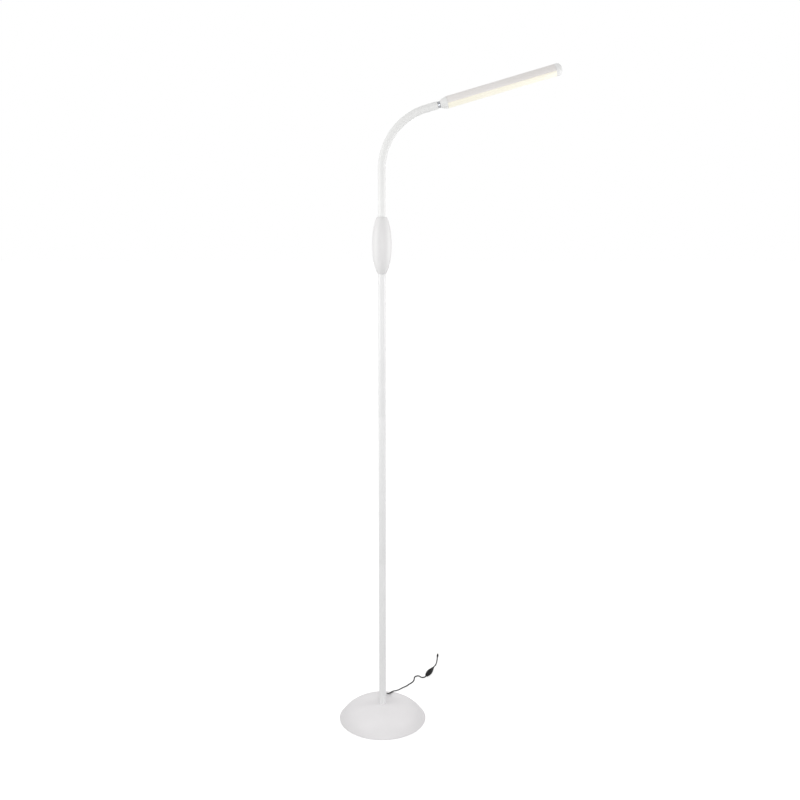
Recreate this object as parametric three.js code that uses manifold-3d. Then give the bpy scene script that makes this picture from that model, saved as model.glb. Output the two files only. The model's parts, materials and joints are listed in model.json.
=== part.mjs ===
// Adjustable arm floor lamp: a weighted domed base, a slim pole in three sections, a two-shell handle
// with the driver inside, a flexible arm of ball-ended links and a swivelling LED head.
// Units are millimetres, +Z is up, and the origin is on the floor under the middle of the base.
// The arm leans towards +X, and the cord runs off behind the base, towards +Y.
import * as THREE from "three";
import { mergeVertices } from "three/addons/utils/BufferGeometryUtils.js";
import Module from "manifold-3d";

const wasm = await Module();
wasm.setup();

// ---- Driving dimensions ------------------------------------------------------------------------

// Clearances that every fit shares.
const FIT = 0.2; // radial clearance of a piece in its bore
const SEAT = 0.3; // gap between curved or turned pieces that seat on each other
const THROUGH = 2; // how far a cutting tool runs past the face that it opens

// Faces round a full turn.
const BASE_SIDES = 36;
const ROUND_SIDES = 20;
const ARM_SIDES = 20;
const SMALL_SIDES = 12;
const CORD_SIDES = 8;

// Base: cover, weight, pad and foot bolt.
const BASE_RADIUS = 100;
const BASE_HEIGHT = 37; // floor to the land that the pole stands on
const DOME_FULLNESS = 4.4; // exponent of the dome's section: 2 is a parabola, more is flatter on top
const COVER_WALL = 2.4;
const COVER_LIFT = 1; // height of the cover's rim above the floor
const LAND_RADIUS = 12; // flat middle of the cover
const RIB_COUNT = 6;
const RIB_THICKNESS = 2;
const RIB_INNER = 26; // where a rib starts
const PAD_THICKNESS = 2;
const PAD_INSET = 6; // of the pad's edge from the weight's edge
const WEIGHT_INSET = 10; // of the weight's edge from the cover's edge
const WEIGHT_RIM = 4; // height of the weight's upright edge
const WEIGHT_THICKNESS = 18;
const WEIGHT_SLOPE = 26; // width of the sloped part of the weight's top
const RIB_SETBACK = 4; // of a rib's end from where that slope starts
const BOSS_RADIUS = 18;
const WELL_RADIUS = 14; // well under the weight for the bolt's head
const WELL_DEPTH = 10;
const BOLT_RADIUS = 4;
const BOLT_GRIP = 14; // length of bolt inside the pole's foot
const BOLT_HEAD_FLATS = 13;
const BOLT_HEAD_HEIGHT = 5.3;
const WASHER_RADIUS = 11;
const WASHER_THICKNESS = 1.6;

// Pole.
const POLE_RADIUS = 8;
const POLE_WALL = 1.2;
const POLE_SECTIONS = 3;
const FOOT_INSERT_LENGTH = 16;
const COUPLER_LENGTH = 36;
const COUPLER_BORE = 3.5;
const COUPLER_CHAMFER = 0.8;
const COLLAR_SPIGOT = 18; // length of the top collar inside the pole

// Strain relief and cord outlet, low on the back of the pole.
const OUTLET_HEIGHT = 66.8; // where the outlet's axis meets the pole's axis
const OUTLET_AZIMUTH = 62; // degrees from +X towards +Y
const OUTLET_DROP = 36; // degrees below level
const RELIEF_WAIST = 2.7;
const RELIEF_FLANGE = 4.2;
const RELIEF_FLANGE_END = 12.2; // distances from the pole's axis, along the outlet's axis
const RELIEF_END = 21;
const RELIEF_TIP = 2.2;
const BARB_RADIUS = 3.4;
const BARB_START = 3.9;
const BARB_END = 5.2;
const LEAD_TURN_RISE = 12; // height in which the lead turns up the pole
const LEAD_TURN_OVERSHOOT = 1.5; // of the turn's corner past the pole's axis

// Handle.
const HANDLE_BOTTOM = 1029;
const HANDLE_LENGTH = 120;
const HANDLE_RADIUS = 21;
const HANDLE_LIP = 0.6; // how far the handle's bottom end stands proud of the pole
const HANDLE_SHOULDER = 3; // and its blunter top end, of the arm
const HANDLE_WALL = 2;
const HANDLE_COLLAR = 10; // length of each end that fits round its tube
const SEAM_GAP = 0.2;
const FLANGE_RADIUS = 11; // flanges that the handle's shelves trap
const FLANGE_THICKNESS = 3;
const FLANGE_OFFSET = 30; // of each flange's far face from the handle's middle
const SHELF_THICKNESS = 2;
const HANDLE_SCREW_OFFSET = 20.5; // height of each screw over or under the handle's middle
const HANDLE_SCREW_SIDE = 8.5; // of each screw from the lead that runs up the middle
const SCREW_SHANK = 1.35;
const SCREW_HEAD = 2.9;
const SCREW_HEAD_HEIGHT = 2;
const SCREW_SEAT = 9; // depth of the head's seat, from the seam
const SCREW_REACH = 9; // how far the shank enters the front shell
const BOSS_WALL = 2.2;
const BOARD_HALF_HEIGHT = 14.5;
const BOARD_HALF_WIDTH = 13;
const BOARD_THICKNESS = 1.6;
const BOARD_FACE = -3; // front face of the driver board, from the seam
const RAIL_OFFSET = 10.5;
const RAIL_WIDTH = 2;

// Flexible arm. Its first joints are in line, and the others follow the bend.
const ARM_RADIUS = 8;
const ARM_BORE = 3;
const ROOT_STUB = 15.5; // handle's top to the first joint
const ARM_RISE = 98; // handle's top to the start of the bend
const BEND_RADIUS = 127;
const BEND_ANGLE = 74;
const SWAY_JOINTS = 3;
const BEND_JOINTS = 5;
const ARM_TAIL = 25; // straight end after the bend
const CUP_DEPTH = 4; // from a joint's centre down to the lip of the cup round it
const FERRULE_LENGTH = 20;
const FERRULE_LIP = 4;
const FERRULE_WALL = 1.4;
const FERRULE_CHAMFER = 0.8;

// Swivel neck.
const NECK_RADIUS = 5.5;
const NECK_BORE = 2.5;
const NECK_SHOWN = 5.5; // bare length between the ferrule and the head
const RING_RADIUS = 6.8; // bright ring on the bare part of the neck
const RING_CHAMFER = 0.6;
const NECK_FLANGE_THICKNESS = 3;
const NECK_REACH = 14; // length inside the head's inner cap
const FRICTION_WASHER = 1.6;
const NECK_NUT_FLATS = 13.6;
const NECK_NUT_HEIGHT = 4;
const NECK_SEAT = 7; // thickness of the cap's end wall, which the nut pulls on

// Head.
const HEAD_RADIUS = 12.5;
const HOUSING_LENGTH = 230;
const HOUSING_WALL = 1.4;
const HOUSING_DROP = 14; // degrees that the housing's edges reach below level
const WEB_HEIGHT = 2; // underside of the web over the head's axis
const WEB_THICKNESS = 1.5;
const INNER_CAP_LENGTH = 15;
const INNER_CAP_NOSE = 7.2; // radius at the neck
const INNER_CAP_SWELL = 10.2; // radius and height of the corner that the cap's curve bends towards
const INNER_CAP_RISE = 4.5;
const OUTER_CAP_LENGTH = 14;
const OUTER_CAP_RIM = 5; // straight part before the dome
const PLUG_LENGTH = 2.6;
const PLUG_RADIUS = 9.6;
const DIFFUSER_WALL = 1.2;
const DIFFUSER_FOOT = 1; // thickness of the edge that stands inside the housing
const FOOT_TOP = 6; // degrees below level that the diffuser's feet reach up to
const BOARD_END_GAP = 3.2; // LED board's ends from the housing's ends
const LED_BOARD_WIDTH = 17;
const LED_BOARD_THICKNESS = 1.2;
const LED_COUNT = 24;
const LED_SIZE = 3;
const LED_HEIGHT = 0.8;

// Cord, with its switch and plug.
const CORD_RADIUS = 1.6;
const SWITCH_ANGLE = 66.5; // degrees from +X towards +Y
const SWITCH_START = new THREE.Vector3(110, 194.2, 6.3);
const SWITCH_LENGTH = 51;
const SWITCH_HALF_WIDTH = 7.2;
const SWITCH_FLATTEN = 0.8; // height over width
const SWITCH_WALL = 1.5;
const SWITCH_HOLLOW_END = 6; // of the hollow from each end
const ROCKER_STATION = 21; // from the switch's start
const ROCKER_WIDTH = 6;
const ROCKER_REACH = 6.4; // radius of the rocker's ends about its pin
const ROCKER_TILT = 8;
const ROCKER_PIN = 1;
const ROCKER_PIN_HEIGHT = 0.5; // over the shells' seam
const EAR_THICKNESS = 1.3;
const PLUG_START = new THREE.Vector3(143.5, 307.2, 2.7);
const PLUG_ANGLE = 83.5;
const PLUG_GRIP_LENGTH = 13;
const PLUG_GRIP_RADIUS = 2.5;
const PLUG_RING_COUNT = 3;
const BARREL_RADIUS = 1.45;
const BARREL_BORE = 0.6;
const BARREL_LENGTH = 8.5;
const CORD_STEP = 2.4; // in cord diameters
const CORD_LEAD_IN = 3.5; // straight length of cord in front of each piece that holds its end

// The cord's route over the base and the floor, after the outlet and up to the switch.
const LEAD_ROUTE = [
  [11, 26, 46.9],
  [12.7, 32, 43.3],
  [14.5, 38, 40.4],
  [17.3, 45.5, 38],
  [20.6, 54, 35.7],
  [24, 63, 32.7],
  [27.6, 73, 28.4],
  [31.3, 84, 23.2],
  [35.3, 96, 18],
  [39.6, 108, 13.5],
  [44.6, 121, 9.3],
  [50.8, 134.5, 5.5],
  [58, 146.2, 2.8],
  [65.2, 157.5, 1.8],
  [72, 166, 1.8],
  [76.9, 175.6, 1.8],
  [78.55, 184.4, 1.9],
  [79.25, 192.35, 2],
  [80.75, 195.75, 2.3],
  [83.35, 197.95, 2.65],
  [86.1, 198.7, 3],
  [88.8, 198.3, 3.4],
  [91.2, 196.85, 3.75],
  [93.15, 194.35, 4.05],
  [94.85, 190.9, 4.35],
  [96.65, 188.45, 4.65],
  [99.05, 186.8, 5],
  [101.55, 186.25, 5.35],
  [103.95, 186.65, 5.7],
  [106.45, 188.2, 6.05],
];

// The cord's route from the switch to the plug.
const TAIL_ROUTE = [
  [134.6, 252.4, 4.9],
  [137.4, 263.5, 3.1],
  [139.7, 276, 1.9],
  [141.6, 290, 1.8],
];

// ---- Derived dimensions ------------------------------------------------------------------------

const radians = THREE.MathUtils.degToRad;
const POLE_BORE = POLE_RADIUS - POLE_WALL;
const INSERT_RADIUS = POLE_BORE - FIT;
const HANDLE_MIDDLE = HANDLE_BOTTOM + HANDLE_LENGTH / 2;
const HANDLE_TOP = HANDLE_BOTTOM + HANDLE_LENGTH;
const POLE_TOP = HANDLE_MIDDLE - FLANGE_OFFSET;
const WEIGHT_RADIUS = BASE_RADIUS - WEIGHT_INSET;
const WEIGHT_FLAT_RADIUS = WEIGHT_RADIUS - WEIGHT_SLOPE;
const RIB_OUTER = WEIGHT_FLAT_RADIUS - RIB_SETBACK;
const WEIGHT_TOP = PAD_THICKNESS + WEIGHT_THICKNESS;
const WELL_TOP = PAD_THICKNESS + WELL_DEPTH;
const COVER_UNDERSIDE = BASE_HEIGHT - COVER_WALL;
const CUP_RADIUS = ARM_RADIUS + SEAT;
const JOINT_BEND = BEND_ANGLE / BEND_JOINTS;
const HALF_PITCH = BEND_RADIUS * Math.tan(radians(JOINT_BEND / 2));
const SWAY_PITCH = (ARM_RISE + HALF_PITCH - ROOT_STUB) / SWAY_JOINTS;
const ARM_END = HALF_PITCH + ARM_TAIL; // last joint to the ferrule's face
const FERRULE_BORE = ARM_RADIUS - FERRULE_WALL;
const HOUSING_START = NECK_SHOWN + INNER_CAP_LENGTH + SEAT; // from the ferrule's face
const HOUSING_END = HOUSING_START + HOUSING_LENGTH;
const HOUSING_BORE = HEAD_RADIUS - HOUSING_WALL;

// ---- Shapes ------------------------------------------------------------------------------------

function solid(geometry) {
  const bare = new THREE.BufferGeometry();
  bare.setAttribute("position", geometry.getAttribute("position"));
  bare.setIndex(geometry.index);
  const merged = mergeVertices(bare, 1e-4);
  return new wasm.Manifold(
    new wasm.Mesh({
      numProp: 3,
      vertProperties: new Float32Array(merged.attributes.position.array),
      triVerts: new Uint32Array(merged.index.array),
    }),
  );
}

function geometryOf(manifold) {
  const mesh = manifold.getMesh();
  const geometry = new THREE.BufferGeometry();
  geometry.setAttribute("position", new THREE.BufferAttribute(mesh.vertProperties, mesh.numProp));
  geometry.setIndex(new THREE.BufferAttribute(mesh.triVerts, 1));
  return geometry;
}

function join(first, ...others) {
  return geometryOf(others.reduce((made, other) => made.add(solid(other)), solid(first)));
}

function cut(first, ...tools) {
  return geometryOf(tools.reduce((made, tool) => made.subtract(solid(tool)), solid(first)));
}

function common(first, second) {
  return geometryOf(solid(first).intersect(solid(second)));
}

// A turned piece about Z. The path is its section in (radius, height), up the outside first.
function turned(path, sides = ROUND_SIDES, arcSteps = 6) {
  const points = path.getPoints(arcSteps);
  return new THREE.LatheGeometry(points, sides).rotateX(Math.PI / 2);
}

function polygonPath(points) {
  const path = new THREE.Path();
  path.moveTo(...points[0]);
  points.slice(1).forEach((point) => path.lineTo(...point));
  path.closePath();
  return path;
}

function ring(inner, outer, bottom, top, sides = ROUND_SIDES) {
  const section = [
    [inner, bottom],
    [outer, bottom],
    [outer, top],
    [inner, top],
  ];
  return turned(polygonPath(section), sides);
}

function rod(radius, bottom, top, sides = ROUND_SIDES) {
  return new THREE.CylinderGeometry(radius, radius, top - bottom, sides)
    .rotateX(Math.PI / 2)
    .translate(0, 0, (top + bottom) / 2);
}

// A rod along Y, between two values of y.
function crossRod(radius, near, far, sides = SMALL_SIDES) {
  return new THREE.CylinderGeometry(radius, radius, far - near, sides).translate(
    0,
    (near + far) / 2,
    0,
  );
}

function hexagon(flats, bottom, top) {
  return rod(flats / 2 / Math.cos(Math.PI / 6), bottom, top, 6);
}

function block([x0, x1], [y0, y1], [z0, z1]) {
  return new THREE.BoxGeometry(x1 - x0, y1 - y0, z1 - z0).translate(
    (x0 + x1) / 2,
    (y0 + y1) / 2,
    (z0 + z1) / 2,
  );
}

function prism(shape, length, arcSteps = 10) {
  return new THREE.ExtrudeGeometry(shape, {
    depth: length,
    bevelEnabled: false,
    curveSegments: arcSteps,
  });
}

function circleShape(radius, sides) {
  const shape = new THREE.Shape();
  for (let i = 0; i < sides; i++) {
    const angle = (i / sides) * 2 * Math.PI;
    const corner = [radius * Math.cos(angle), radius * Math.sin(angle)];
    if (i) shape.lineTo(...corner);
    else shape.moveTo(...corner);
  }
  return shape;
}

function tubeAlong(curve, radius) {
  const steps = Math.ceil(curve.getLength() / (CORD_STEP * 2 * radius));
  return new THREE.ExtrudeGeometry(circleShape(radius, CORD_SIDES), {
    steps,
    extrudePath: curve,
    bevelEnabled: false,
  });
}

// ---- Assembly helpers --------------------------------------------------------------------------

function finish(color, roughness, metalness = 0) {
  return new THREE.MeshStandardMaterial({ color, roughness, metalness });
}

const FINISH = {
  cover: finish(0xf1f1ef, 0.45),
  castIron: finish(0x4a4a4c, 0.8, 0.6),
  foam: finish(0x2b2b2b, 0.95),
  paintedTube: finish(0xf3f3f1, 0.35),
  zinc: finish(0xb9bbbd, 0.4, 0.9),
  whitePlastic: finish(0xf1f1ef, 0.42),
  sleeve: finish(0xf2f2f0, 0.5),
  housingPaint: finish(0xe4e1de, 0.4),
  chrome: finish(0xd8dadc, 0.12, 1),
  steel: finish(0x8f9193, 0.4, 0.9),
  boardGreen: finish(0x2f6b45, 0.6),
  boardWhite: finish(0xf7f6f0, 0.6),
  diffuser: finish(0xfff6e2, 0.55),
  blackPlastic: finish(0x141414, 0.45),
  cordBlack: finish(0x101010, 0.5),
  nickel: finish(0xc9c7c0, 0.25, 1),
};

function piece(name, geometry, material) {
  const shown = geometry.index ? geometry.toNonIndexed() : geometry;
  shown.computeVertexNormals();
  const mesh = new THREE.Mesh(shown, material);
  mesh.name = name;
  return mesh;
}

function groupOf(...pieces) {
  const group = new THREE.Group();
  group.add(...pieces);
  return group;
}

// Turns a group so that its Z runs along the direction and its Y is as near up as it can be.
function layAlong(group, origin, direction) {
  const along = direction.clone().normalize();
  const side = new THREE.Vector3(0, 0, 1).cross(along).normalize();
  const up = along.clone().cross(side);
  group.quaternion.setFromRotationMatrix(new THREE.Matrix4().makeBasis(side, up, along));
  group.position.copy(origin);
  return group;
}

function levelDirection(degrees) {
  return new THREE.Vector3(Math.cos(radians(degrees)), Math.sin(radians(degrees)), 0);
}

// ---- Base --------------------------------------------------------------------------------------

// Height of a dome that is level in its middle and steepest at its rim.
function domeHeight(radius, rimRadius, top) {
  const rise = top - COVER_LIFT;
  return COVER_LIFT + rise * (1 - (radius / rimRadius) ** DOME_FULLNESS);
}

// Points up a dome from its rim to a flat land, closer together near the rim.
function domePoints(rimRadius, top, steps = 9) {
  const last = Math.acos(LAND_RADIUS / rimRadius);
  return Array.from({ length: steps + 1 }, (_, i) => {
    const radius = rimRadius * Math.cos((i / steps) * last);
    const height = i === steps ? top : domeHeight(radius, rimRadius, top);
    return [radius, height];
  });
}

const COVER_INNER_RIM = BASE_RADIUS - COVER_WALL * 1.2;

function coverRib(index) {
  const outline = new THREE.Shape();
  outline.moveTo(RIB_INNER, WEIGHT_TOP + SEAT);
  outline.lineTo(RIB_OUTER, WEIGHT_TOP + SEAT);
  const steps = 3;
  for (let i = 0; i <= steps; i++) {
    const radius = THREE.MathUtils.lerp(RIB_OUTER, RIB_INNER, i / steps);
    const middle = domeHeight(radius, COVER_INNER_RIM, COVER_UNDERSIDE) + COVER_WALL / 2;
    outline.lineTo(radius, middle);
  }
  return prism(outline, RIB_THICKNESS)
    .rotateX(Math.PI / 2)
    .translate(0, RIB_THICKNESS / 2, 0)
    .rotateZ(((index + 0.5) / RIB_COUNT) * 2 * Math.PI);
}

function baseCover() {
  const hole = BOLT_RADIUS + FIT;
  const outside = domePoints(BASE_RADIUS, BASE_HEIGHT);
  const inside = domePoints(COVER_INNER_RIM, COVER_UNDERSIDE, 6).reverse();
  const section = [...outside, [hole, BASE_HEIGHT], [hole, COVER_UNDERSIDE], ...inside];
  const shell = turned(polygonPath(section), BASE_SIDES);
  const ribs = Array.from({ length: RIB_COUNT }, (_, i) => coverRib(i));
  return piece("base_cover", join(shell, ...ribs), FINISH.cover);
}

function baseWeight() {
  const hole = BOLT_RADIUS + FIT;
  const section = [
    [WELL_RADIUS, PAD_THICKNESS],
    [WEIGHT_RADIUS, PAD_THICKNESS],
    [WEIGHT_RADIUS, PAD_THICKNESS + WEIGHT_RIM],
    [WEIGHT_FLAT_RADIUS, WEIGHT_TOP],
    [BOSS_RADIUS + 4, WEIGHT_TOP],
    [BOSS_RADIUS, WEIGHT_TOP + 4],
    [BOSS_RADIUS, COVER_UNDERSIDE - 1],
    [BOSS_RADIUS - 6, COVER_UNDERSIDE],
    [hole, COVER_UNDERSIDE],
    [hole, WELL_TOP],
    [WELL_RADIUS, WELL_TOP],
  ];
  return piece("base_weight", turned(polygonPath(section), BASE_SIDES), FINISH.castIron);
}

function floorPad() {
  const pad = rod(WEIGHT_RADIUS - PAD_INSET, 0, PAD_THICKNESS, BASE_SIDES);
  return piece("floor_pad", pad, FINISH.foam);
}

function footBolt() {
  const seat = WELL_TOP - WASHER_THICKNESS;
  const head = hexagon(BOLT_HEAD_FLATS, seat - BOLT_HEAD_HEIGHT, seat);
  const shank = rod(BOLT_RADIUS, seat - 1, BASE_HEIGHT + BOLT_GRIP, SMALL_SIDES);
  return piece("foot_bolt", join(head, shank), FINISH.zinc);
}

function footWasher() {
  const bore = BOLT_RADIUS + FIT;
  const washer = ring(bore, WASHER_RADIUS, WELL_TOP - WASHER_THICKNESS, WELL_TOP, SMALL_SIDES);
  return piece("foot_washer", washer, FINISH.zinc);
}

function base() {
  return groupOf(floorPad(), baseWeight(), baseCover(), footBolt(), footWasher());
}

// ---- Pole --------------------------------------------------------------------------------------

function outletDirection() {
  const level = levelDirection(OUTLET_AZIMUTH).multiplyScalar(Math.cos(radians(OUTLET_DROP)));
  return level.setZ(-Math.sin(radians(OUTLET_DROP)));
}

// A point on the outlet's axis, at a distance from the pole's axis.
function outletPoint(distance) {
  const point = outletDirection().multiplyScalar(distance);
  return point.add(new THREE.Vector3(0, 0, OUTLET_HEIGHT));
}

// Moves a piece made along Z onto the outlet's axis.
function ontoOutlet(geometry) {
  const turn = new THREE.Quaternion().setFromUnitVectors(
    new THREE.Vector3(0, 0, 1),
    outletDirection(),
  );
  return geometry.applyQuaternion(turn).translate(0, 0, OUTLET_HEIGHT);
}

function poleTube(index) {
  const length = (POLE_TOP - BASE_HEIGHT) / POLE_SECTIONS;
  const bottom = BASE_HEIGHT + index * length;
  const tube = ring(POLE_BORE, POLE_RADIUS, bottom, bottom + length);
  if (index > 0) return piece(`pole_section_${index + 1}`, tube, FINISH.paintedTube);
  const hole = ontoOutlet(rod(RELIEF_WAIST + SEAT, BARB_START, RELIEF_END, SMALL_SIDES));
  return piece("pole_section_1", cut(tube, hole), FINISH.paintedTube);
}

function poleCoupler(index) {
  const middle = BASE_HEIGHT + (index * (POLE_TOP - BASE_HEIGHT)) / POLE_SECTIONS;
  const half = COUPLER_LENGTH / 2;
  const edge = INSERT_RADIUS - COUPLER_CHAMFER;
  const section = [
    [COUPLER_BORE, middle - half],
    [edge, middle - half],
    [INSERT_RADIUS, middle - half + COUPLER_CHAMFER],
    [INSERT_RADIUS, middle + half - COUPLER_CHAMFER],
    [edge, middle + half],
    [COUPLER_BORE, middle + half],
  ];
  const coupler = turned(polygonPath(section), ROUND_SIDES);
  return piece(`pole_coupler_${index}`, coupler, FINISH.zinc);
}

function footInsert() {
  const top = BASE_HEIGHT + FOOT_INSERT_LENGTH;
  const insert = ring(BOLT_RADIUS + FIT, INSERT_RADIUS, BASE_HEIGHT, top);
  return piece("pole_foot_insert", insert, FINISH.zinc);
}

// A spigot in the pole's top end, with a flange that the handle traps.
function poleTopCollar() {
  const section = [
    [COUPLER_BORE, POLE_TOP - COLLAR_SPIGOT],
    [INSERT_RADIUS, POLE_TOP - COLLAR_SPIGOT],
    [INSERT_RADIUS, POLE_TOP],
    [FLANGE_RADIUS, POLE_TOP],
    [FLANGE_RADIUS, POLE_TOP + FLANGE_THICKNESS],
    [COUPLER_BORE, POLE_TOP + FLANGE_THICKNESS],
  ];
  return piece("pole_top_collar", turned(polygonPath(section)), FINISH.zinc);
}

function strainRelief() {
  const taper = [
    [0, POLE_RADIUS],
    [RELIEF_FLANGE, POLE_RADIUS],
    [RELIEF_FLANGE, RELIEF_FLANGE_END],
    [RELIEF_FLANGE - 1, RELIEF_FLANGE_END + 0.5],
    [RELIEF_TIP, RELIEF_END],
    [0, RELIEF_END],
  ];
  const outer = ontoOutlet(turned(polygonPath(taper), SMALL_SIDES));
  const saddle = rod(POLE_RADIUS + SEAT, OUTLET_HEIGHT - RELIEF_END, OUTLET_HEIGHT + RELIEF_END);
  const waist = ontoOutlet(rod(RELIEF_WAIST, BARB_END - 1, RELIEF_FLANGE_END, SMALL_SIDES));
  const barb = ontoOutlet(rod(BARB_RADIUS, BARB_START, BARB_END, SMALL_SIDES));
  return piece("strain_relief", join(cut(outer, saddle), waist, barb), FINISH.whitePlastic);
}

// The lead inside the pole: in from the strain relief, then straight up to the driver board.
function innerLead() {
  const start = outletPoint(BARB_START - SEAT);
  const turnEnd = new THREE.Vector3(0, 0, OUTLET_HEIGHT + LEAD_TURN_RISE);
  const corner = outletPoint(-LEAD_TURN_OVERSHOOT);
  const turn = new THREE.QuadraticBezierCurve3(start, corner, turnEnd);
  const bend = new THREE.ExtrudeGeometry(circleShape(CORD_RADIUS, CORD_SIDES), {
    steps: 8,
    extrudePath: turn,
    bevelEnabled: false,
  });
  const top = HANDLE_MIDDLE - BOARD_HALF_HEIGHT - SEAT;
  const straight = rod(CORD_RADIUS, turnEnd.z - 0.5, top, CORD_SIDES);
  return piece("inner_lead", join(straight, bend), FINISH.cordBlack);
}

function pole() {
  const tubes = Array.from({ length: POLE_SECTIONS }, (_, i) => poleTube(i));
  const couplers = Array.from({ length: POLE_SECTIONS - 1 }, (_, i) => poleCoupler(i + 1));
  return groupOf(
    ...tubes,
    ...couplers,
    footInsert(),
    poleTopCollar(),
    strainRelief(),
    innerLead(),
  );
}

// ---- Handle ------------------------------------------------------------------------------------

// Half-height of the ellipse that passes through the end's radius at the handle's ends.
function ellipseHalf(radius, endRadius, halfLength) {
  return halfLength / Math.sqrt(1 - (endRadius / radius) ** 2);
}

const HANDLE_FOOT_RADIUS = POLE_RADIUS + HANDLE_LIP;
const HANDLE_CROWN_RADIUS = ARM_RADIUS + HANDLE_SHOULDER;
const LOWER_HALF = ellipseHalf(HANDLE_RADIUS, HANDLE_FOOT_RADIUS, HANDLE_LENGTH / 2);
const UPPER_HALF = ellipseHalf(HANDLE_RADIUS, HANDLE_CROWN_RADIUS, HANDLE_LENGTH / 2);

// Points up the handle's two half-ellipses, inset from its outside, from one radius to the other.
function spindlePoints(inset, footRadius, crownRadius, steps) {
  const radius = HANDLE_RADIUS - inset;
  const first = -Math.acos(footRadius / radius);
  const last = Math.acos(crownRadius / radius);
  return Array.from({ length: steps + 1 }, (_, i) => {
    const angle = THREE.MathUtils.lerp(first, last, i / steps);
    const half = (angle < 0 ? LOWER_HALF : UPPER_HALF) - inset;
    return [radius * Math.cos(angle), HANDLE_MIDDLE + half * Math.sin(angle)];
  });
}

// The whole handle's wall, with a collar at each end that fits round its tube.
function handleWall() {
  const bore = POLE_RADIUS + SEAT;
  const reach = HANDLE_LENGTH / 2 - HANDLE_COLLAR;
  const outside = spindlePoints(0, HANDLE_FOOT_RADIUS, HANDLE_CROWN_RADIUS, 10);
  const inside = spindlePoints(HANDLE_WALL, bore + 1, bore + 1, 7).filter(
    ([, height]) => Math.abs(height - HANDLE_MIDDLE) < reach,
  );
  const section = [
    [bore, HANDLE_BOTTOM],
    ...outside,
    [bore, HANDLE_TOP],
    [bore, HANDLE_TOP - HANDLE_COLLAR],
    ...inside.reverse(),
    [bore, HANDLE_BOTTOM + HANDLE_COLLAR],
  ];
  return turned(polygonPath(section));
}

// The handle's solid form, out to the middle of its wall: what stands inside is trimmed to it.
function handleCore() {
  const points = spindlePoints(HANDLE_WALL / 2, 0, 0, 8);
  const path = new THREE.Path();
  path.moveTo(...points[0]);
  points.slice(1).forEach((point) => path.lineTo(...point));
  return turned(path);
}

// Two shelves that trap a flange between them.
function flangeShelves(flangeBottom) {
  const bore = POLE_RADIUS + SEAT;
  const below = flangeBottom - SEAT - SHELF_THICKNESS;
  const above = flangeBottom + FLANGE_THICKNESS + SEAT;
  return [below, above].map((bottom) => ring(bore, HANDLE_RADIUS, bottom, bottom + SHELF_THICKNESS));
}

function handleShelves() {
  return [
    ...flangeShelves(POLE_TOP),
    ...flangeShelves(HANDLE_MIDDLE + FLANGE_OFFSET - FLANGE_THICKNESS),
  ];
}

// The two screws stand diagonally, one on each side of the lead.
const SCREW_PLACES = [-1, 1].map((side) => [
  -side * HANDLE_SCREW_SIDE,
  0,
  HANDLE_MIDDLE + side * HANDLE_SCREW_OFFSET,
]);

function halfSpace(side) {
  const reach = HANDLE_RADIUS + THROUGH;
  const span = [(side * SEAM_GAP) / 2, side * reach].sort((a, b) => a - b);
  return block([-reach, reach], span, [HANDLE_BOTTOM - THROUGH, HANDLE_TOP + THROUGH]);
}

function handleHalf(side, features) {
  const fitted = features.map((feature) => common(feature, handleCore()));
  const whole = join(handleWall(), ...handleShelves().map((s) => common(s, handleCore())), ...fitted);
  return common(whole, halfSpace(side));
}

// Front shell: blind screw bosses, and two rails that the driver board lies on.
function handleFront() {
  const bosses = SCREW_PLACES.map((place) =>
    crossRod(SCREW_SHANK + BOSS_WALL, -HANDLE_RADIUS, 0).translate(...place),
  );
  const rails = [-1, 1].map((side) =>
    block(
      [side * RAIL_OFFSET - RAIL_WIDTH / 2, side * RAIL_OFFSET + RAIL_WIDTH / 2],
      [-HANDLE_RADIUS, BOARD_FACE],
      [HANDLE_MIDDLE - BOARD_HALF_HEIGHT, HANDLE_MIDDLE + BOARD_HALF_HEIGHT],
    ),
  );
  const holes = SCREW_PLACES.map((place) =>
    crossRod(SCREW_SHANK + FIT, -SCREW_REACH - 1, THROUGH).translate(...place),
  );
  const shell = cut(handleHalf(-1, [...bosses, ...rails]), ...holes);
  return piece("handle_front", shell, FINISH.whitePlastic);
}

// Rear shell: screw bosses with a deep counterbore from outside.
function handleRear() {
  const bosses = SCREW_PLACES.map((place) =>
    crossRod(SCREW_HEAD + BOSS_WALL, 0, HANDLE_RADIUS).translate(...place),
  );
  const holes = SCREW_PLACES.flatMap((place) => [
    crossRod(SCREW_SHANK + FIT, -THROUGH, SCREW_SEAT + THROUGH).translate(...place),
    crossRod(SCREW_HEAD + SEAT, SCREW_SEAT, HANDLE_RADIUS + THROUGH).translate(...place),
  ]);
  return piece("handle_rear", cut(handleHalf(1, bosses), ...holes), FINISH.whitePlastic);
}

function handleScrew(place, index) {
  const head = crossRod(SCREW_HEAD, SCREW_SEAT, SCREW_SEAT + SCREW_HEAD_HEIGHT);
  const shank = crossRod(SCREW_SHANK, -SCREW_REACH, SCREW_SEAT + 1);
  const screw = join(head, shank).translate(...place);
  return piece(`handle_screw_${index + 1}`, screw, FINISH.steel);
}

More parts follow.
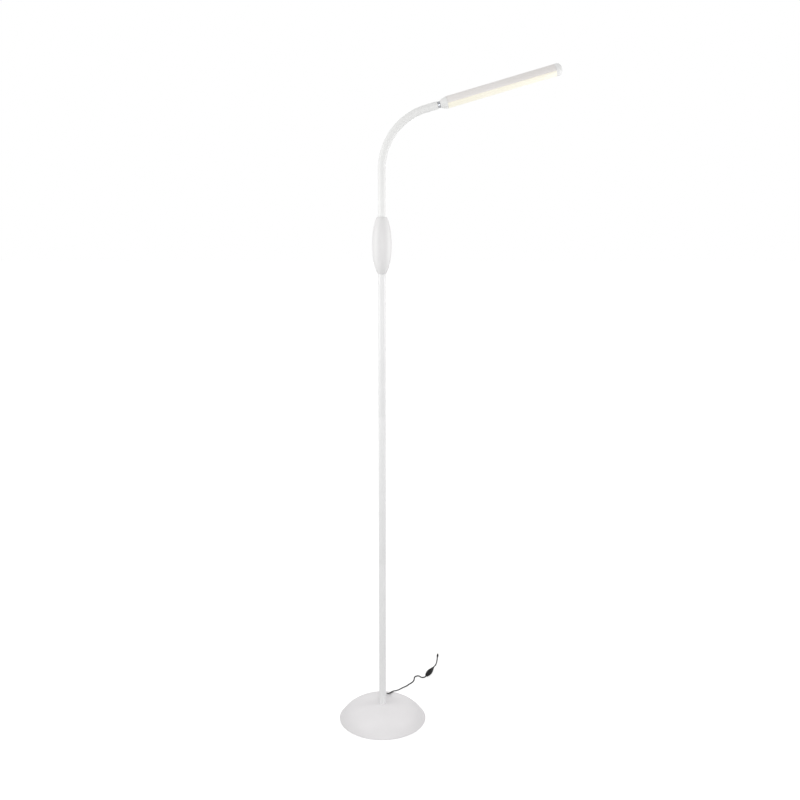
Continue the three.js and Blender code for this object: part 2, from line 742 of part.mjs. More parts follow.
// The driver board with its terminal block, smoothing capacitor, coil and controller.
function driverBoard() {
  const face = BOARD_FACE;
  const top = face + BOARD_THICKNESS;
  const heights = [HANDLE_MIDDLE - BOARD_HALF_HEIGHT, HANDLE_MIDDLE + BOARD_HALF_HEIGHT];
  const board = block([-BOARD_HALF_WIDTH, BOARD_HALF_WIDTH], [face, top], heights);
  const terminal = block([-5, 5], [top - 0.2, 4], [heights[0], heights[0] + 6]);
  const capacitor = crossRod(4, top - 0.2, 9).translate(-6.5, 0, HANDLE_MIDDLE + 1);
  const coil = crossRod(4.5, top - 0.2, 4).translate(6, 0, HANDLE_MIDDLE + 3);
  const controller = block(
    [-3, 3],
    [top - 0.2, top + 1.6],
    [HANDLE_MIDDLE + 8, HANDLE_MIDDLE + 13],
  );
  const made = join(board, terminal, capacitor, coil, controller);
  return piece("driver_board", made, FINISH.boardGreen);
}

function handle() {
  return groupOf(
    handleFront(),
    handleRear(),
    ...SCREW_PLACES.map(handleScrew),
    driverBoard(),
  );
}

// ---- Flexible arm ------------------------------------------------------------------------------

// Section of a ball round the origin, from the bore up to the arm's radius.
function ballPoints(steps = 4) {
  const first = Math.asin(ARM_BORE / ARM_RADIUS);
  return Array.from({ length: steps + 1 }, (_, i) => {
    const angle = THREE.MathUtils.lerp(first, Math.PI / 2, i / steps);
    return [ARM_RADIUS * Math.sin(angle), -ARM_RADIUS * Math.cos(angle)];
  });
}

// Section of the cup round the next joint's centre, from its lip down to the bore.
function cupPoints(centre, steps = 3) {
  const lip = Math.acos(CUP_DEPTH / CUP_RADIUS);
  const last = Math.asin(ARM_BORE / CUP_RADIUS);
  return Array.from({ length: steps + 1 }, (_, i) => {
    const angle = THREE.MathUtils.lerp(lip, last, i / steps);
    return [CUP_RADIUS * Math.sin(angle), centre - CUP_RADIUS * Math.cos(angle)];
  });
}

// A link from its own joint, at the origin, to the next one, a pitch further up.
function armLink(index, pitch) {
  const section = [...ballPoints(), [ARM_RADIUS, pitch - CUP_DEPTH], ...cupPoints(pitch)];
  return piece(`arm_link_${index}`, turned(polygonPath(section), ARM_SIDES), FINISH.sleeve);
}

// The arm's root: a flange trapped in the handle, and a cup for the first joint.
function armRoot() {
  const flangeTop = HANDLE_MIDDLE + FLANGE_OFFSET;
  const joint = HANDLE_TOP + ROOT_STUB;
  const section = [
    [ARM_BORE, flangeTop - FLANGE_THICKNESS],
    [FLANGE_RADIUS, flangeTop - FLANGE_THICKNESS],
    [FLANGE_RADIUS, flangeTop],
    [ARM_RADIUS, flangeTop],
    [ARM_RADIUS, joint - CUP_DEPTH],
    ...cupPoints(joint),
  ];
  return piece("arm_root", turned(polygonPath(section), ARM_SIDES), FINISH.sleeve);
}

const NECK_FLANGE_START = ARM_END - FERRULE_LIP - SEAT - NECK_FLANGE_THICKNESS;
const SPIGOT_END = NECK_FLANGE_START - FRICTION_WASHER - 2 * SEAT;
const FERRULE_START = ARM_END - FERRULE_LENGTH;

// The last link: a ball, a short barrel and the spigot that the ferrule screws onto.
function armEndLink() {
  const spigot = FERRULE_BORE - FIT;
  const section = [
    ...ballPoints(),
    [ARM_RADIUS, FERRULE_START - SEAT],
    [spigot, FERRULE_START - SEAT],
    [spigot, SPIGOT_END],
    [ARM_BORE, SPIGOT_END],
  ];
  return piece("arm_end_link", turned(polygonPath(section), ARM_SIDES), FINISH.sleeve);
}

// The ferrule, whose lip holds the neck's flange.
function armFerrule() {
  const mouth = NECK_RADIUS + FIT;
  const section = [
    [FERRULE_BORE, FERRULE_START],
    [ARM_RADIUS, FERRULE_START],
    [ARM_RADIUS, ARM_END - FERRULE_CHAMFER],
    [ARM_RADIUS - FERRULE_CHAMFER, ARM_END],
    [mouth, ARM_END],
    [mouth, ARM_END - FERRULE_LIP],
    [FERRULE_BORE, ARM_END - FERRULE_LIP],
  ];
  return piece("arm_ferrule", turned(polygonPath(section), ARM_SIDES), FINISH.sleeve);
}

function frictionWasher() {
  const outer = FERRULE_BORE - SEAT;
  const bottom = SPIGOT_END + SEAT;
  const washer = ring(ARM_BORE, outer, bottom, bottom + FRICTION_WASHER, SMALL_SIDES);
  return piece("friction_washer", washer, FINISH.blackPlastic);
}

// Nested groups, one for each joint, carry the links from the handle to the head.
function arm() {
  const root = groupOf(armRoot());
  let parent = new THREE.Group();
  parent.position.z = HANDLE_TOP + ROOT_STUB;
  root.add(parent);
  const links = SWAY_JOINTS + BEND_JOINTS - 1;
  for (let index = 1; index <= links; index++) {
    const pitch = index <= SWAY_JOINTS ? SWAY_PITCH : 2 * HALF_PITCH;
    parent.add(armLink(index, pitch));
    const joint = new THREE.Group();
    joint.position.z = pitch;
    joint.rotation.y = index >= SWAY_JOINTS ? radians(JOINT_BEND) : 0;
    parent.add(joint);
    parent = joint;
  }
  parent.add(armEndLink(), armFerrule(), frictionWasher(), head());
  return root;
}

// ---- Swivel neck and head ----------------------------------------------------------------------

// Everything here is made along Z from the ferrule's face, with +Y up and X across.

function swivelNeck() {
  const flange = NECK_FLANGE_START - ARM_END;
  const tip = NECK_SHOWN + NECK_REACH;
  const section = [
    [NECK_BORE, flange],
    [FERRULE_BORE - FIT, flange],
    [FERRULE_BORE - FIT, flange + NECK_FLANGE_THICKNESS],
    [NECK_RADIUS, flange + NECK_FLANGE_THICKNESS],
    [NECK_RADIUS, tip],
    [NECK_BORE, tip],
  ];
  return piece("swivel_neck", turned(polygonPath(section), ARM_SIDES), FINISH.chrome);
}

function neckRing() {
  const bottom = SEAT;
  const top = NECK_SHOWN - SEAT;
  const bore = NECK_RADIUS + FIT;
  const section = [
    [bore, bottom],
    [RING_RADIUS - RING_CHAMFER, bottom],
    [RING_RADIUS, bottom + RING_CHAMFER],
    [RING_RADIUS, top - RING_CHAMFER],
    [RING_RADIUS - RING_CHAMFER, top],
    [bore, top],
  ];
  return piece("neck_ring", turned(polygonPath(section), ARM_SIDES), FINISH.chrome);
}

function neckNut() {
  const bottom = NECK_SHOWN + NECK_SEAT + SEAT;
  const body = hexagon(NECK_NUT_FLATS, bottom, bottom + NECK_NUT_HEIGHT);
  const bore = rod(NECK_RADIUS + FIT, bottom - THROUGH, bottom + NECK_NUT_HEIGHT + THROUGH, ARM_SIDES);
  return piece("neck_nut", cut(body, bore), FINISH.zinc);
}

// The slot in an end plug that the housing's web runs into.
function webSlot(bottom, top) {
  return block(
    [-HEAD_RADIUS, HEAD_RADIUS],
    [WEB_HEIGHT - SEAT, WEB_HEIGHT + WEB_THICKNESS + SEAT],
    [bottom, top],
  );
}

// The inner cap swells from the neck's width to the head's, and holds the neck's nut.
function innerCap() {
  const rim = NECK_SHOWN + INNER_CAP_LENGTH;
  const path = new THREE.Path();
  path.moveTo(NECK_RADIUS + FIT, NECK_SHOWN);
  path.lineTo(INNER_CAP_NOSE, NECK_SHOWN);
  path.quadraticCurveTo(INNER_CAP_SWELL, NECK_SHOWN + INNER_CAP_RISE, HEAD_RADIUS, rim);
  path.lineTo(PLUG_RADIUS, rim);
  path.lineTo(PLUG_RADIUS, rim + PLUG_LENGTH);
  path.lineTo(NECK_RADIUS + FIT, rim + PLUG_LENGTH);
  path.closePath();
  const pocketStart = NECK_SHOWN + NECK_SEAT;
  const pocket = hexagon(NECK_NUT_FLATS + 2 * SEAT, pocketStart, rim + PLUG_LENGTH + THROUGH);
  const slot = webSlot(rim, rim + PLUG_LENGTH + THROUGH);
  return piece("head_inner_cap", cut(turned(path, ROUND_SIDES, 4), pocket, slot), FINISH.whitePlastic);
}

// The outer cap: a short rim, then a dome.
function outerCap() {
  const rim = HOUSING_END + SEAT;
  const tip = rim + OUTER_CAP_LENGTH;
  const path = new THREE.Path();
  path.moveTo(0, rim - PLUG_LENGTH);
  path.lineTo(PLUG_RADIUS, rim - PLUG_LENGTH);
  path.lineTo(PLUG_RADIUS, rim);
  path.lineTo(HEAD_RADIUS, rim);
  path.lineTo(HEAD_RADIUS, rim + OUTER_CAP_RIM);
  const dome = tip - rim - OUTER_CAP_RIM;
  path.absellipse(0, rim + OUTER_CAP_RIM, HEAD_RADIUS, dome, 0, Math.PI / 2, false, 0);
  const slot = webSlot(rim - PLUG_LENGTH - THROUGH, rim);
  return piece("head_outer_cap", cut(turned(path, ROUND_SIDES, 3), slot), FINISH.whitePlastic);
}

// The housing's section: an open arc over the top, closed by a web that carries the LED board.
function headHousing() {
  const drop = radians(HOUSING_DROP);
  const under = Math.asin(WEB_HEIGHT / HOUSING_BORE);
  const over = Math.asin((WEB_HEIGHT + WEB_THICKNESS) / HOUSING_BORE);
  const section = new THREE.Shape();
  section.absarc(0, 0, HEAD_RADIUS, -drop, Math.PI + drop, false);
  section.absarc(0, 0, HOUSING_BORE, Math.PI + drop, Math.PI - under, true);
  section.absarc(0, 0, HOUSING_BORE, under, -drop, true);
  section.closePath();
  const duct = new THREE.Path();
  duct.absarc(0, 0, HOUSING_BORE, over, Math.PI - over, false);
  duct.closePath();
  section.holes.push(duct);
  const housing = prism(section, HOUSING_LENGTH).translate(0, 0, HOUSING_START);
  return piece("head_housing", housing, FINISH.housingPaint);
}

// The diffuser: an arc under the housing, with a thin foot up inside each of its edges.
function headDiffuser() {
  const edge = radians(HOUSING_DROP) + SEAT / HEAD_RADIUS;
  const top = radians(FOOT_TOP);
  const footOuter = HOUSING_BORE - SEAT;
  const footInner = footOuter - DIFFUSER_FOOT;
  const step = HEAD_RADIUS - DIFFUSER_WALL;
  const section = new THREE.Shape();
  section.absarc(0, 0, HEAD_RADIUS, Math.PI + edge, 2 * Math.PI - edge, false);
  section.absarc(0, 0, footOuter, -edge, -top, false);
  section.absarc(0, 0, footInner, -top, -edge, true);
  section.absarc(0, 0, Math.min(step, footOuter), -edge - 0.1, Math.PI + edge + 0.1 - 2 * Math.PI, true);
  section.absarc(0, 0, footInner, Math.PI + edge, Math.PI + top, true);
  section.absarc(0, 0, footOuter, Math.PI + top, Math.PI + edge, false);
  section.closePath();
  const diffuser = prism(section, HOUSING_LENGTH).translate(0, 0, HOUSING_START);
  return piece("head_diffuser", diffuser, FINISH.diffuser);
}

// The LED board under the web, with its row of chips.
function ledBoard() {
  const top = WEB_HEIGHT - SEAT;
  const bottom = top - LED_BOARD_THICKNESS;
  const start = HOUSING_START + BOARD_END_GAP;
  const end = HOUSING_END - BOARD_END_GAP;
  const half = LED_BOARD_WIDTH / 2;
  const board = block([-half, half], [bottom, top], [start, end]);
  const spacing = (end - start) / LED_COUNT;
  const chips = Array.from({ length: LED_COUNT }, (_, i) => {
    const middle = start + (i + 0.5) * spacing;
    return block(
      [-LED_SIZE / 2, LED_SIZE / 2],
      [bottom - LED_HEIGHT, bottom + 0.2],
      [middle - LED_SIZE / 2, middle + LED_SIZE / 2],
    );
  });
  return piece("led_board", join(board, ...chips), FINISH.boardWhite);
}

function head() {
  const group = groupOf(
    swivelNeck(),
    neckRing(),
    neckNut(),
    innerCap(),
    headHousing(),
    headDiffuser(),
    ledBoard(),
    outerCap(),
  );
  group.position.z = ARM_END;
  group.rotation.z = Math.PI / 2; // the light faces down
  return group;
}

// ---- Cord, switch and plug ---------------------------------------------------------------------

// The switch is made along Z from its start, with +Y up. Its half-width swells to a blunt spindle.
function switchOutline(inset) {
  const widths = [0.52, 0.76, 0.93, 1, 0.93, 0.8, 0.62, 0.44, 0.3];
  const from = inset ? SWITCH_HOLLOW_END : 0;
  const to = SWITCH_LENGTH - from;
  const profile = new THREE.SplineCurve(
    widths.map(
      (width, i) =>
        new THREE.Vector2(
          width * SWITCH_HALF_WIDTH,
          (i / (widths.length - 1)) * SWITCH_LENGTH,
        ),
    ),
  );
  const steps = 9;
  const points = Array.from({ length: steps + 1 }, (_, i) => {
    const station = THREE.MathUtils.lerp(from, to, i / steps);
    const point = profile.getPoint(station / SWITCH_LENGTH);
    return [Math.max(point.x - inset, 0.6), station];
  });
  return polygonPath([[0, from], ...points, [0, to]]);
}

function switchForm(inset) {
  return turned(switchOutline(inset), SMALL_SIDES).scale(1, SWITCH_FLATTEN, 1);
}

function switchHalf(side) {
  const reach = SWITCH_HALF_WIDTH + THROUGH;
  const span = [(side * SEAM_GAP) / 2, side * reach].sort((a, b) => a - b);
  const half = block([-reach, reach], span, [-THROUGH, SWITCH_LENGTH + THROUGH]);
  return common(cut(switchForm(0), switchForm(SWITCH_WALL)), half);
}

const ROCKER_PIN_REACH = ROCKER_WIDTH / 2 + SEAT + EAR_THICKNESS;

// Moves a piece made about the rocker's pin to its place in the switch.
function ontoPin(geometry) {
  return geometry.translate(0, ROCKER_PIN_HEIGHT, ROCKER_STATION);
}

function pinRod(radius, reach) {
  return new THREE.CylinderGeometry(radius, radius, 2 * reach, SMALL_SIDES).rotateZ(Math.PI / 2);
}

function switchTop() {
  const half = ROCKER_WIDTH / 2 + SEAT;
  const reach = ROCKER_REACH + SEAT;
  const window_ = block([-half, half], [0, SWITCH_HALF_WIDTH], [-reach, reach]);
  return piece("switch_top", cut(switchHalf(1), ontoPin(window_)), FINISH.blackPlastic);
}

// The lower shell carries two ears that the rocker's pin turns in.
function switchBottom() {
  const ears = [-1, 1].map((side) => {
    const near = side * (ROCKER_WIDTH / 2 + SEAT);
    const span = [near, near + side * EAR_THICKNESS].sort((a, b) => a - b);
    return block(span, [-SWITCH_HALF_WIDTH, ROCKER_PIN + 0.8], [-2.4, 2.4]);
  });
  const form = switchForm(SWITCH_WALL / 2);
  const trimmed = ears.map((ear) => common(ontoPin(ear), form));
  const pin = ontoPin(pinRod(ROCKER_PIN + SEAT, SWITCH_HALF_WIDTH));
  const bored = cut(join(...trimmed), pin);
  return piece("switch_bottom", join(switchHalf(-1), bored), FINISH.blackPlastic);
}

// The rocker: its ends are round its pin, and its top is a shallow V.
function switchRocker() {
  const side = new THREE.Shape();
  const low = radians(14);
  const high = radians(62);
  side.absarc(0, 0, ROCKER_REACH, low, high, false);
  side.lineTo(0, ROCKER_REACH * 0.72);
  side.absarc(0, 0, ROCKER_REACH, Math.PI - high, Math.PI - low, false);
  side.lineTo(-ROCKER_PIN * 1.5, -ROCKER_PIN);
  side.lineTo(ROCKER_PIN * 1.5, -ROCKER_PIN);
  side.closePath();
  const body = prism(side, ROCKER_WIDTH, 4)
    .translate(0, 0, -ROCKER_WIDTH / 2)
    .rotateY(Math.PI / 2);
  const made = join(body, pinRod(ROCKER_PIN, ROCKER_PIN_REACH)).rotateX(-radians(ROCKER_TILT));
  return piece("switch_rocker", ontoPin(made), FINISH.blackPlastic);
}

function cordSwitch() {
  const group = groupOf(switchBottom(), switchTop(), switchRocker());
  return layAlong(group, SWITCH_START, levelDirection(SWITCH_ANGLE));
}

// The plug's moulded grip, with rings for the fingers.
function plugGrip() {
  const path = new THREE.Path();
  path.moveTo(0, 0);
  path.lineTo(CORD_RADIUS + 0.6, 0);
  path.lineTo(PLUG_GRIP_RADIUS - 0.5, 4);
  const pitch = (PLUG_GRIP_LENGTH - 6) / PLUG_RING_COUNT;
  for (let i = 0; i < PLUG_RING_COUNT; i++) {
    const foot = 4 + i * pitch;
    path.lineTo(PLUG_GRIP_RADIUS, foot + 0.4);
    path.lineTo(PLUG_GRIP_RADIUS, foot + pitch - 0.6);
    path.lineTo(PLUG_GRIP_RADIUS - 0.5, foot + pitch);
  }
  path.lineTo(PLUG_GRIP_RADIUS - 0.5, PLUG_GRIP_LENGTH);
  path.lineTo(0, PLUG_GRIP_LENGTH);
  return piece("plug_grip", turned(path, SMALL_SIDES), FINISH.blackPlastic);
}

function plugBarrel() {
  const start = PLUG_GRIP_LENGTH + SEAT;
  const barrel = rod(BARREL_RADIUS, start, start + BARREL_LENGTH, SMALL_SIDES);
  const bore = rod(BARREL_BORE, start + 1, start + BARREL_LENGTH + THROUGH, CORD_SIDES);
  return piece("plug_barrel", cut(barrel, bore), FINISH.nickel);
}

function cordPlug() {
  return layAlong(groupOf(plugGrip(), plugBarrel()), PLUG_START, levelDirection(PLUG_ANGLE));
}

// A point on the switch's or the plug's axis, a distance along it.
function pointAlong(origin, degrees, distance) {
  return origin.clone().addScaledVector(levelDirection(degrees), distance);
}

// A cord's curve: straight out of one piece, along the route, and straight into the next one.
function routeCurve(leaving, route, arriving) {
  const middle = route.map((point) => new THREE.Vector3(...point));
  return new THREE.CatmullRomCurve3([...leaving, ...middle, ...arriving]);
}

function cordLead() {
  const leaving = [SEAT, CORD_LEAD_IN].map((gap) => outletPoint(RELIEF_END + gap));
  const arriving = [CORD_LEAD_IN, SEAT].map((gap) => pointAlong(SWITCH_START, SWITCH_ANGLE, -gap));
  const curve = routeCurve(leaving, LEAD_ROUTE, arriving);
  return piece("cord_lead", tubeAlong(curve, CORD_RADIUS), FINISH.cordBlack);
}

function cordTail() {
  const leaving = [SEAT, CORD_LEAD_IN].map((gap) =>
    pointAlong(SWITCH_START, SWITCH_ANGLE, SWITCH_LENGTH + gap),
  );
  const arriving = [CORD_LEAD_IN, SEAT].map((gap) => pointAlong(PLUG_START, PLUG_ANGLE, -gap));
  const curve = routeCurve(leaving, TAIL_ROUTE, arriving);
  return piece("cord_tail", tubeAlong(curve, CORD_RADIUS), FINISH.cordBlack);
}

// ---- The lamp ----------------------------------------------------------------------------------

const lamp = groupOf(
  base(),
  pole(),
  handle(),
  arm(),
  cordLead(),
  cordSwitch(),
  cordTail(),
  cordPlug(),
);

export default lamp;
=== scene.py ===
"""The looks of the adjustable arm floor lamp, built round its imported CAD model.

Sections and routes are written in millimetres and turned into metres where meshes are made.
"""

import json
import math

import bmesh
import bpy
from mathutils import Matrix, Vector


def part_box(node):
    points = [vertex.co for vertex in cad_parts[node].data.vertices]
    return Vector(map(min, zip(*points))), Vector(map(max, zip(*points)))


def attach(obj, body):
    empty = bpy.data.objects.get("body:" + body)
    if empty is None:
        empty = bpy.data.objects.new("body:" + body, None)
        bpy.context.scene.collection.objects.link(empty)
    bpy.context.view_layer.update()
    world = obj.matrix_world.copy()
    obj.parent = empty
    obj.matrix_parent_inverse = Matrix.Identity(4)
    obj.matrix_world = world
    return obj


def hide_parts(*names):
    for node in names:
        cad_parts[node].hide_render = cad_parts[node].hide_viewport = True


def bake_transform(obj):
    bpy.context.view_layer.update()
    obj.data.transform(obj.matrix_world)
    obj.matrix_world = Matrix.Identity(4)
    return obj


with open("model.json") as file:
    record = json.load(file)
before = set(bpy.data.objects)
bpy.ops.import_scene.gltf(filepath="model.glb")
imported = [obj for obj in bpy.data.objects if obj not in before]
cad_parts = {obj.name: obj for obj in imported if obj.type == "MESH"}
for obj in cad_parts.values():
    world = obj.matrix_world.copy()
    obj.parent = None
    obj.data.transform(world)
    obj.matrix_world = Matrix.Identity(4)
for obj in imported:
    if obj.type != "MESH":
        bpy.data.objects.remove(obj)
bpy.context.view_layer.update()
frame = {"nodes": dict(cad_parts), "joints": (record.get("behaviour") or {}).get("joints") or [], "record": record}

MM = 0.001
scene = bpy.context.scene
JOINTS = {joint["name"]: joint for joint in frame["joints"]}


def joint_place(name):
    return Vector(JOINTS[name]["pos_m"])


def joint_axis(name):
    return Vector(JOINTS[name]["axis"]).normalized()


# ---- Camera ----------------------------------------------------------------------------------

# Fitted to the base's outline in the photograph. The place is in metres, and the tilt in degrees
# up from straight down.
SENSOR_WIDTH = 36
FOCAL_LENGTH = 41.76
CAMERA_SHIFT = 0.0121
CAMERA_PLACE = (0.018, -2.0, 1.125)
CAMERA_TILT = 79.525
CAMERA_REACH = 100


def add_camera():
    data = bpy.data.cameras.new("camera")
    data.sensor_width = SENSOR_WIDTH
    data.lens = FOCAL_LENGTH
    data.shift_x = CAMERA_SHIFT
    data.clip_end = CAMERA_REACH
    camera = bpy.data.objects.new("camera", data)
    camera.location = CAMERA_PLACE
    camera.rotation_euler = (math.radians(CAMERA_TILT), 0, 0)
    scene.collection.objects.link(camera)
    scene.camera = camera


add_camera()

# ---- Mesh helpers ----------------------------------------------------------------------------

NEARLY_STRAIGHT = math.radians(150)
WELD_DISTANCE = 1e-6
SHORTEST_EDGE = 1e-7


def add_object(name, data, body=None, material=None):
    piece = bpy.data.objects.new(name, data)
    scene.collection.objects.link(piece)
    if material:
        data.materials.append(material)
    if body:
        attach(piece, body)
    return piece


def clean_mesh(name, points, faces, sharp=35):
    """A mesh from points in metres, welded, with its faces turned outwards and smooth shading."""
    made = bmesh.new()
    corners = [made.verts.new(point) for point in points]
    for face in faces:
        made.faces.new([corners[i] for i in face])
    bmesh.ops.remove_doubles(made, verts=made.verts, dist=WELD_DISTANCE)
    bmesh.ops.dissolve_degenerate(made, edges=made.edges, dist=SHORTEST_EDGE)
    bmesh.ops.recalc_face_normals(made, faces=made.faces)
    mesh = bpy.data.meshes.new(name)
    made.to_mesh(mesh)
    made.free()
    smooth(mesh, sharp)
    return mesh


def smooth(mesh, sharp=35):
    """Smooth shading, apart from edges that turn by more than the degrees given."""
    mesh.shade_smooth()
    mesh.set_sharp_from_angle(angle=math.radians(sharp))


def curve_point(start, bend, end, t):
    """A point of the curve that leaves start towards bend and reaches end from it."""
    return start * (1 - t) ** 2 + bend * (2 * t * (1 - t)) + end * t * t


def rounded(section, radius, steps=4, share=0.45):
    """A closed section with its corners rounded.

    A point may carry its own radius as a third number. No corner takes up more than the share
    given of either side next to it, and a corner that is nearly straight stays as it is.
    """
    count = len(section)
    out = []
    for i, point in enumerate(section):
        here = Vector(point[:2])
        size = point[2] if len(point) > 2 else radius
        before = Vector(section[i - 1][:2]) - here
        after = Vector(section[(i + 1) % count][:2]) - here
        angle = before.angle(after, math.pi)
        if size <= 0 or angle > NEARLY_STRAIGHT:
            out.append(tuple(here))
            continue
        reach = min(size / math.tan(angle / 2), before.length * share, after.length * share)
        start = here + before.normalized() * reach
        end = here + after.normalized() * reach
        out += [tuple(curve_point(start, here, end, k / steps)) for k in range(steps + 1)]
    return out


def turned(name, section, place=Matrix.Identity(4), sides=96, span=(0, 360), warp=None, sharp=35):
    """A closed section of (radius, height) turned about Z and put in place.

    Any warp moves each point first, given how far round it is as a share of the span.
    """
    whole = span[1] - span[0] == 360
    rings = sides if whole else sides + 1
    points, faces = [], []
    for i in range(rings):
        angle = math.radians(span[0] + (span[1] - span[0]) * i / sides)
        for radius, height in section:
            point = Vector((radius * math.cos(angle), radius * math.sin(angle), height))
            if warp:
                point = warp(point, i / sides)
            points.append(place @ (point * MM))
    count = len(section)
    for i in range(sides):
        for j in range(count):
            k = (j + 1) % count
            near, far = i * count, ((i + 1) % rings) * count
            faces.append([near + j, far + j, far + k, near + k])
    if not whole:
        faces.append(list(range(count)))
        faces.append(list(range((rings - 1) * count, rings * count)))
    return clean_mesh(name, points, faces, sharp)


def prism(name, outline, bottom, top, place=Matrix.Identity(4), sharp=35):
    """A closed outline in X and Y, run along Z."""
    count = len(outline)
    points = [place @ (Vector((x, y, z)) * MM) for z in (bottom, top) for x, y in outline]
    faces = [[j, (j + 1) % count, count + (j + 1) % count, count + j] for j in range(count)]
    faces += [list(range(count)), list(range(count, 2 * count))]
    return clean_mesh(name, points, faces, sharp)


def modified(mesh, kind, **settings):
    """The mesh after one modifier, as a mesh of its own."""
    holder = bpy.data.objects.new("work", mesh)
    scene.collection.objects.link(holder)
    modifier = holder.modifiers.new("work", kind)
    for key, value in settings.items():
        setattr(modifier, key, value)
    graph = bpy.context.evaluated_depsgraph_get()
    made = bpy.data.meshes.new_from_object(holder.evaluated_get(graph))
    bpy.data.objects.remove(holder)
    made.name = mesh.name
    return made


def combined(mesh, tools, operation):
    """The mesh joined with, or cut by, each tool mesh in turn."""
    for tool in tools:
        holder = bpy.data.objects.new("tool", tool)
        scene.collection.objects.link(holder)
        mesh = modified(mesh, "BOOLEAN", object=holder, operation=operation, solver="EXACT")
        bpy.data.objects.remove(holder)
    smooth(mesh)
    return mesh


def bevelled(mesh, width, segments, limit):
    """The mesh with its edges eased where they turn by more than the limit, in degrees."""
    made = modified(
        mesh,
        "BEVEL",
        width=width * MM,
        segments=segments,
        limit_method="ANGLE",
        angle_limit=math.radians(limit),
    )
    smooth(made)
    return made


def placed(origin, along):
    """A frame at the origin, in metres, whose Z runs along, with Y as near up as it can be."""
    along = along.normalized()
    side = Vector((0, 0, 1)).cross(along).normalized()
    basis = Matrix((side, along.cross(side), along)).transposed().to_4x4()
    return Matrix.Translation(origin) @ basis


def level_direction(degrees):
    return Vector((math.cos(math.radians(degrees)), math.sin(math.radians(degrees)), 0))


# ---- Material helpers ------------------------------------------------------------------------


class Nodes:
    """A short way to add and join shader nodes."""

    def __init__(self, name):
        self.material = bpy.data.materials.new(name)
        self.material.use_nodes = True
        self.tree = self.material.node_tree
        self.shader = self.tree.nodes["Principled BSDF"]
        self.place = self.add("ShaderNodeTexCoord").outputs["Object"]

    def add(self, kind, inputs=None, **settings):
        node = self.tree.nodes.new(kind)
        for key, value in settings.items():
            setattr(node, key, value)
        for key, value in (inputs or {}).items():
            if isinstance(value, bpy.types.NodeSocket):
                self.tree.links.new(value, node.inputs[key])
            else:
                node.inputs[key].default_value = value
        return node

    def noise(self, scale, detail, roughness, stretch=None):
        place = self.place
        if stretch:
            place = self.add("ShaderNodeMapping", {"Vector": place, "Scale": stretch}).outputs[0]
        inputs = {"Vector": place, "Scale": scale, "Detail": detail, "Roughness": roughness}
        return self.add("ShaderNodeTexNoise", inputs).outputs["Fac"]

    def spread(self, value, low, high, source=(0.3, 0.7)):
        """The value's source range, by default the middle of a noise, spread from low to high."""
        inputs = {
            "Value": value,
            "From Min": source[0],
            "From Max": source[1],
            "To Min": low,
            "To Max": high,
        }
        return self.add("ShaderNodeMapRange", inputs).outputs[0]

    def mix(self, factor, first, second):
        node = self.add("ShaderNodeMix", data_type="RGBA")
        for key, value in (("Factor", factor), ("A", first), ("B", second)):
            kind = "VALUE" if key == "Factor" else "RGBA"
            socket = next(s for s in node.inputs if s.name == key and s.type == kind)
            if isinstance(value, bpy.types.NodeSocket):
                self.tree.links.new(value, socket)
            else:
                socket.default_value = value if key == "Factor" else (*value, 1)
        return next(s for s in node.outputs if s.type == "RGBA")

    def bump(self, height, strength, distance, normal=None):
        """A bump of a distance in millimetres, on top of any other normal."""
        inputs = {"Height": height, "Strength": strength, "Distance": distance * MM}
        if normal:
            inputs["Normal"] = normal
        return self.add("ShaderNodeBump", inputs).outputs[0]

    def join(self, socket, value):
        """Sets the shader's socket to a constant, or links another node's output to it."""
        target = self.shader.inputs[socket]
        if isinstance(value, bpy.types.NodeSocket):
            self.tree.links.new(value, target)
        elif isinstance(value, tuple):
            target.default_value = (*value, 1)
        else:
            target.default_value = value


def linear(value):
    """Linear light for a display value from 0 to 255."""
    share = value / 255
    return share / 12.92 if share <= 0.04045 else ((share + 0.055) / 1.055) ** 2.4


def colour(red, green, blue):
    return (linear(red), linear(green), linear(blue))


def finish_material(
    name, pale, dark, roughness, grain, peel=None, patch=12, metallic=0.0, gloss=0.5
):
    """Broad tone patches, uneven gloss and fine grain, with a softer ripple if peel is set.

    The colours are display values. Grain and peel are each a noise scale and a depth in
    millimetres, and patch is the noise scale of the tone patches.
    """
    nodes = Nodes(name)
    broad = nodes.noise(patch, 4, 0.6)
    grain_scale, grain_depth = grain
    fine = nodes.noise(grain_scale, 2, 0.55)
    tone = nodes.mix(nodes.spread(broad, 0, 1), colour(*pale), colour(*dark))
    speck = nodes.mix(nodes.spread(fine, 0, 0.35), tone, colour(*dark))
    nodes.join("Base Color", speck)
    nodes.join("Metallic", metallic)
    nodes.join("Specular IOR Level", gloss)
    smudge = nodes.noise(patch * 2.3, 5, 0.65)
    nodes.join("Roughness", nodes.spread(smudge, roughness - 0.05, roughness + 0.06))
    normal = nodes.bump(fine, 0.5, grain_depth)
    if peel:
        peel_scale, peel_depth = peel
        normal = nodes.bump(nodes.noise(peel_scale, 2, 0.4), 0.4, peel_depth, normal)
    nodes.join("Normal", normal)
    return nodes.material


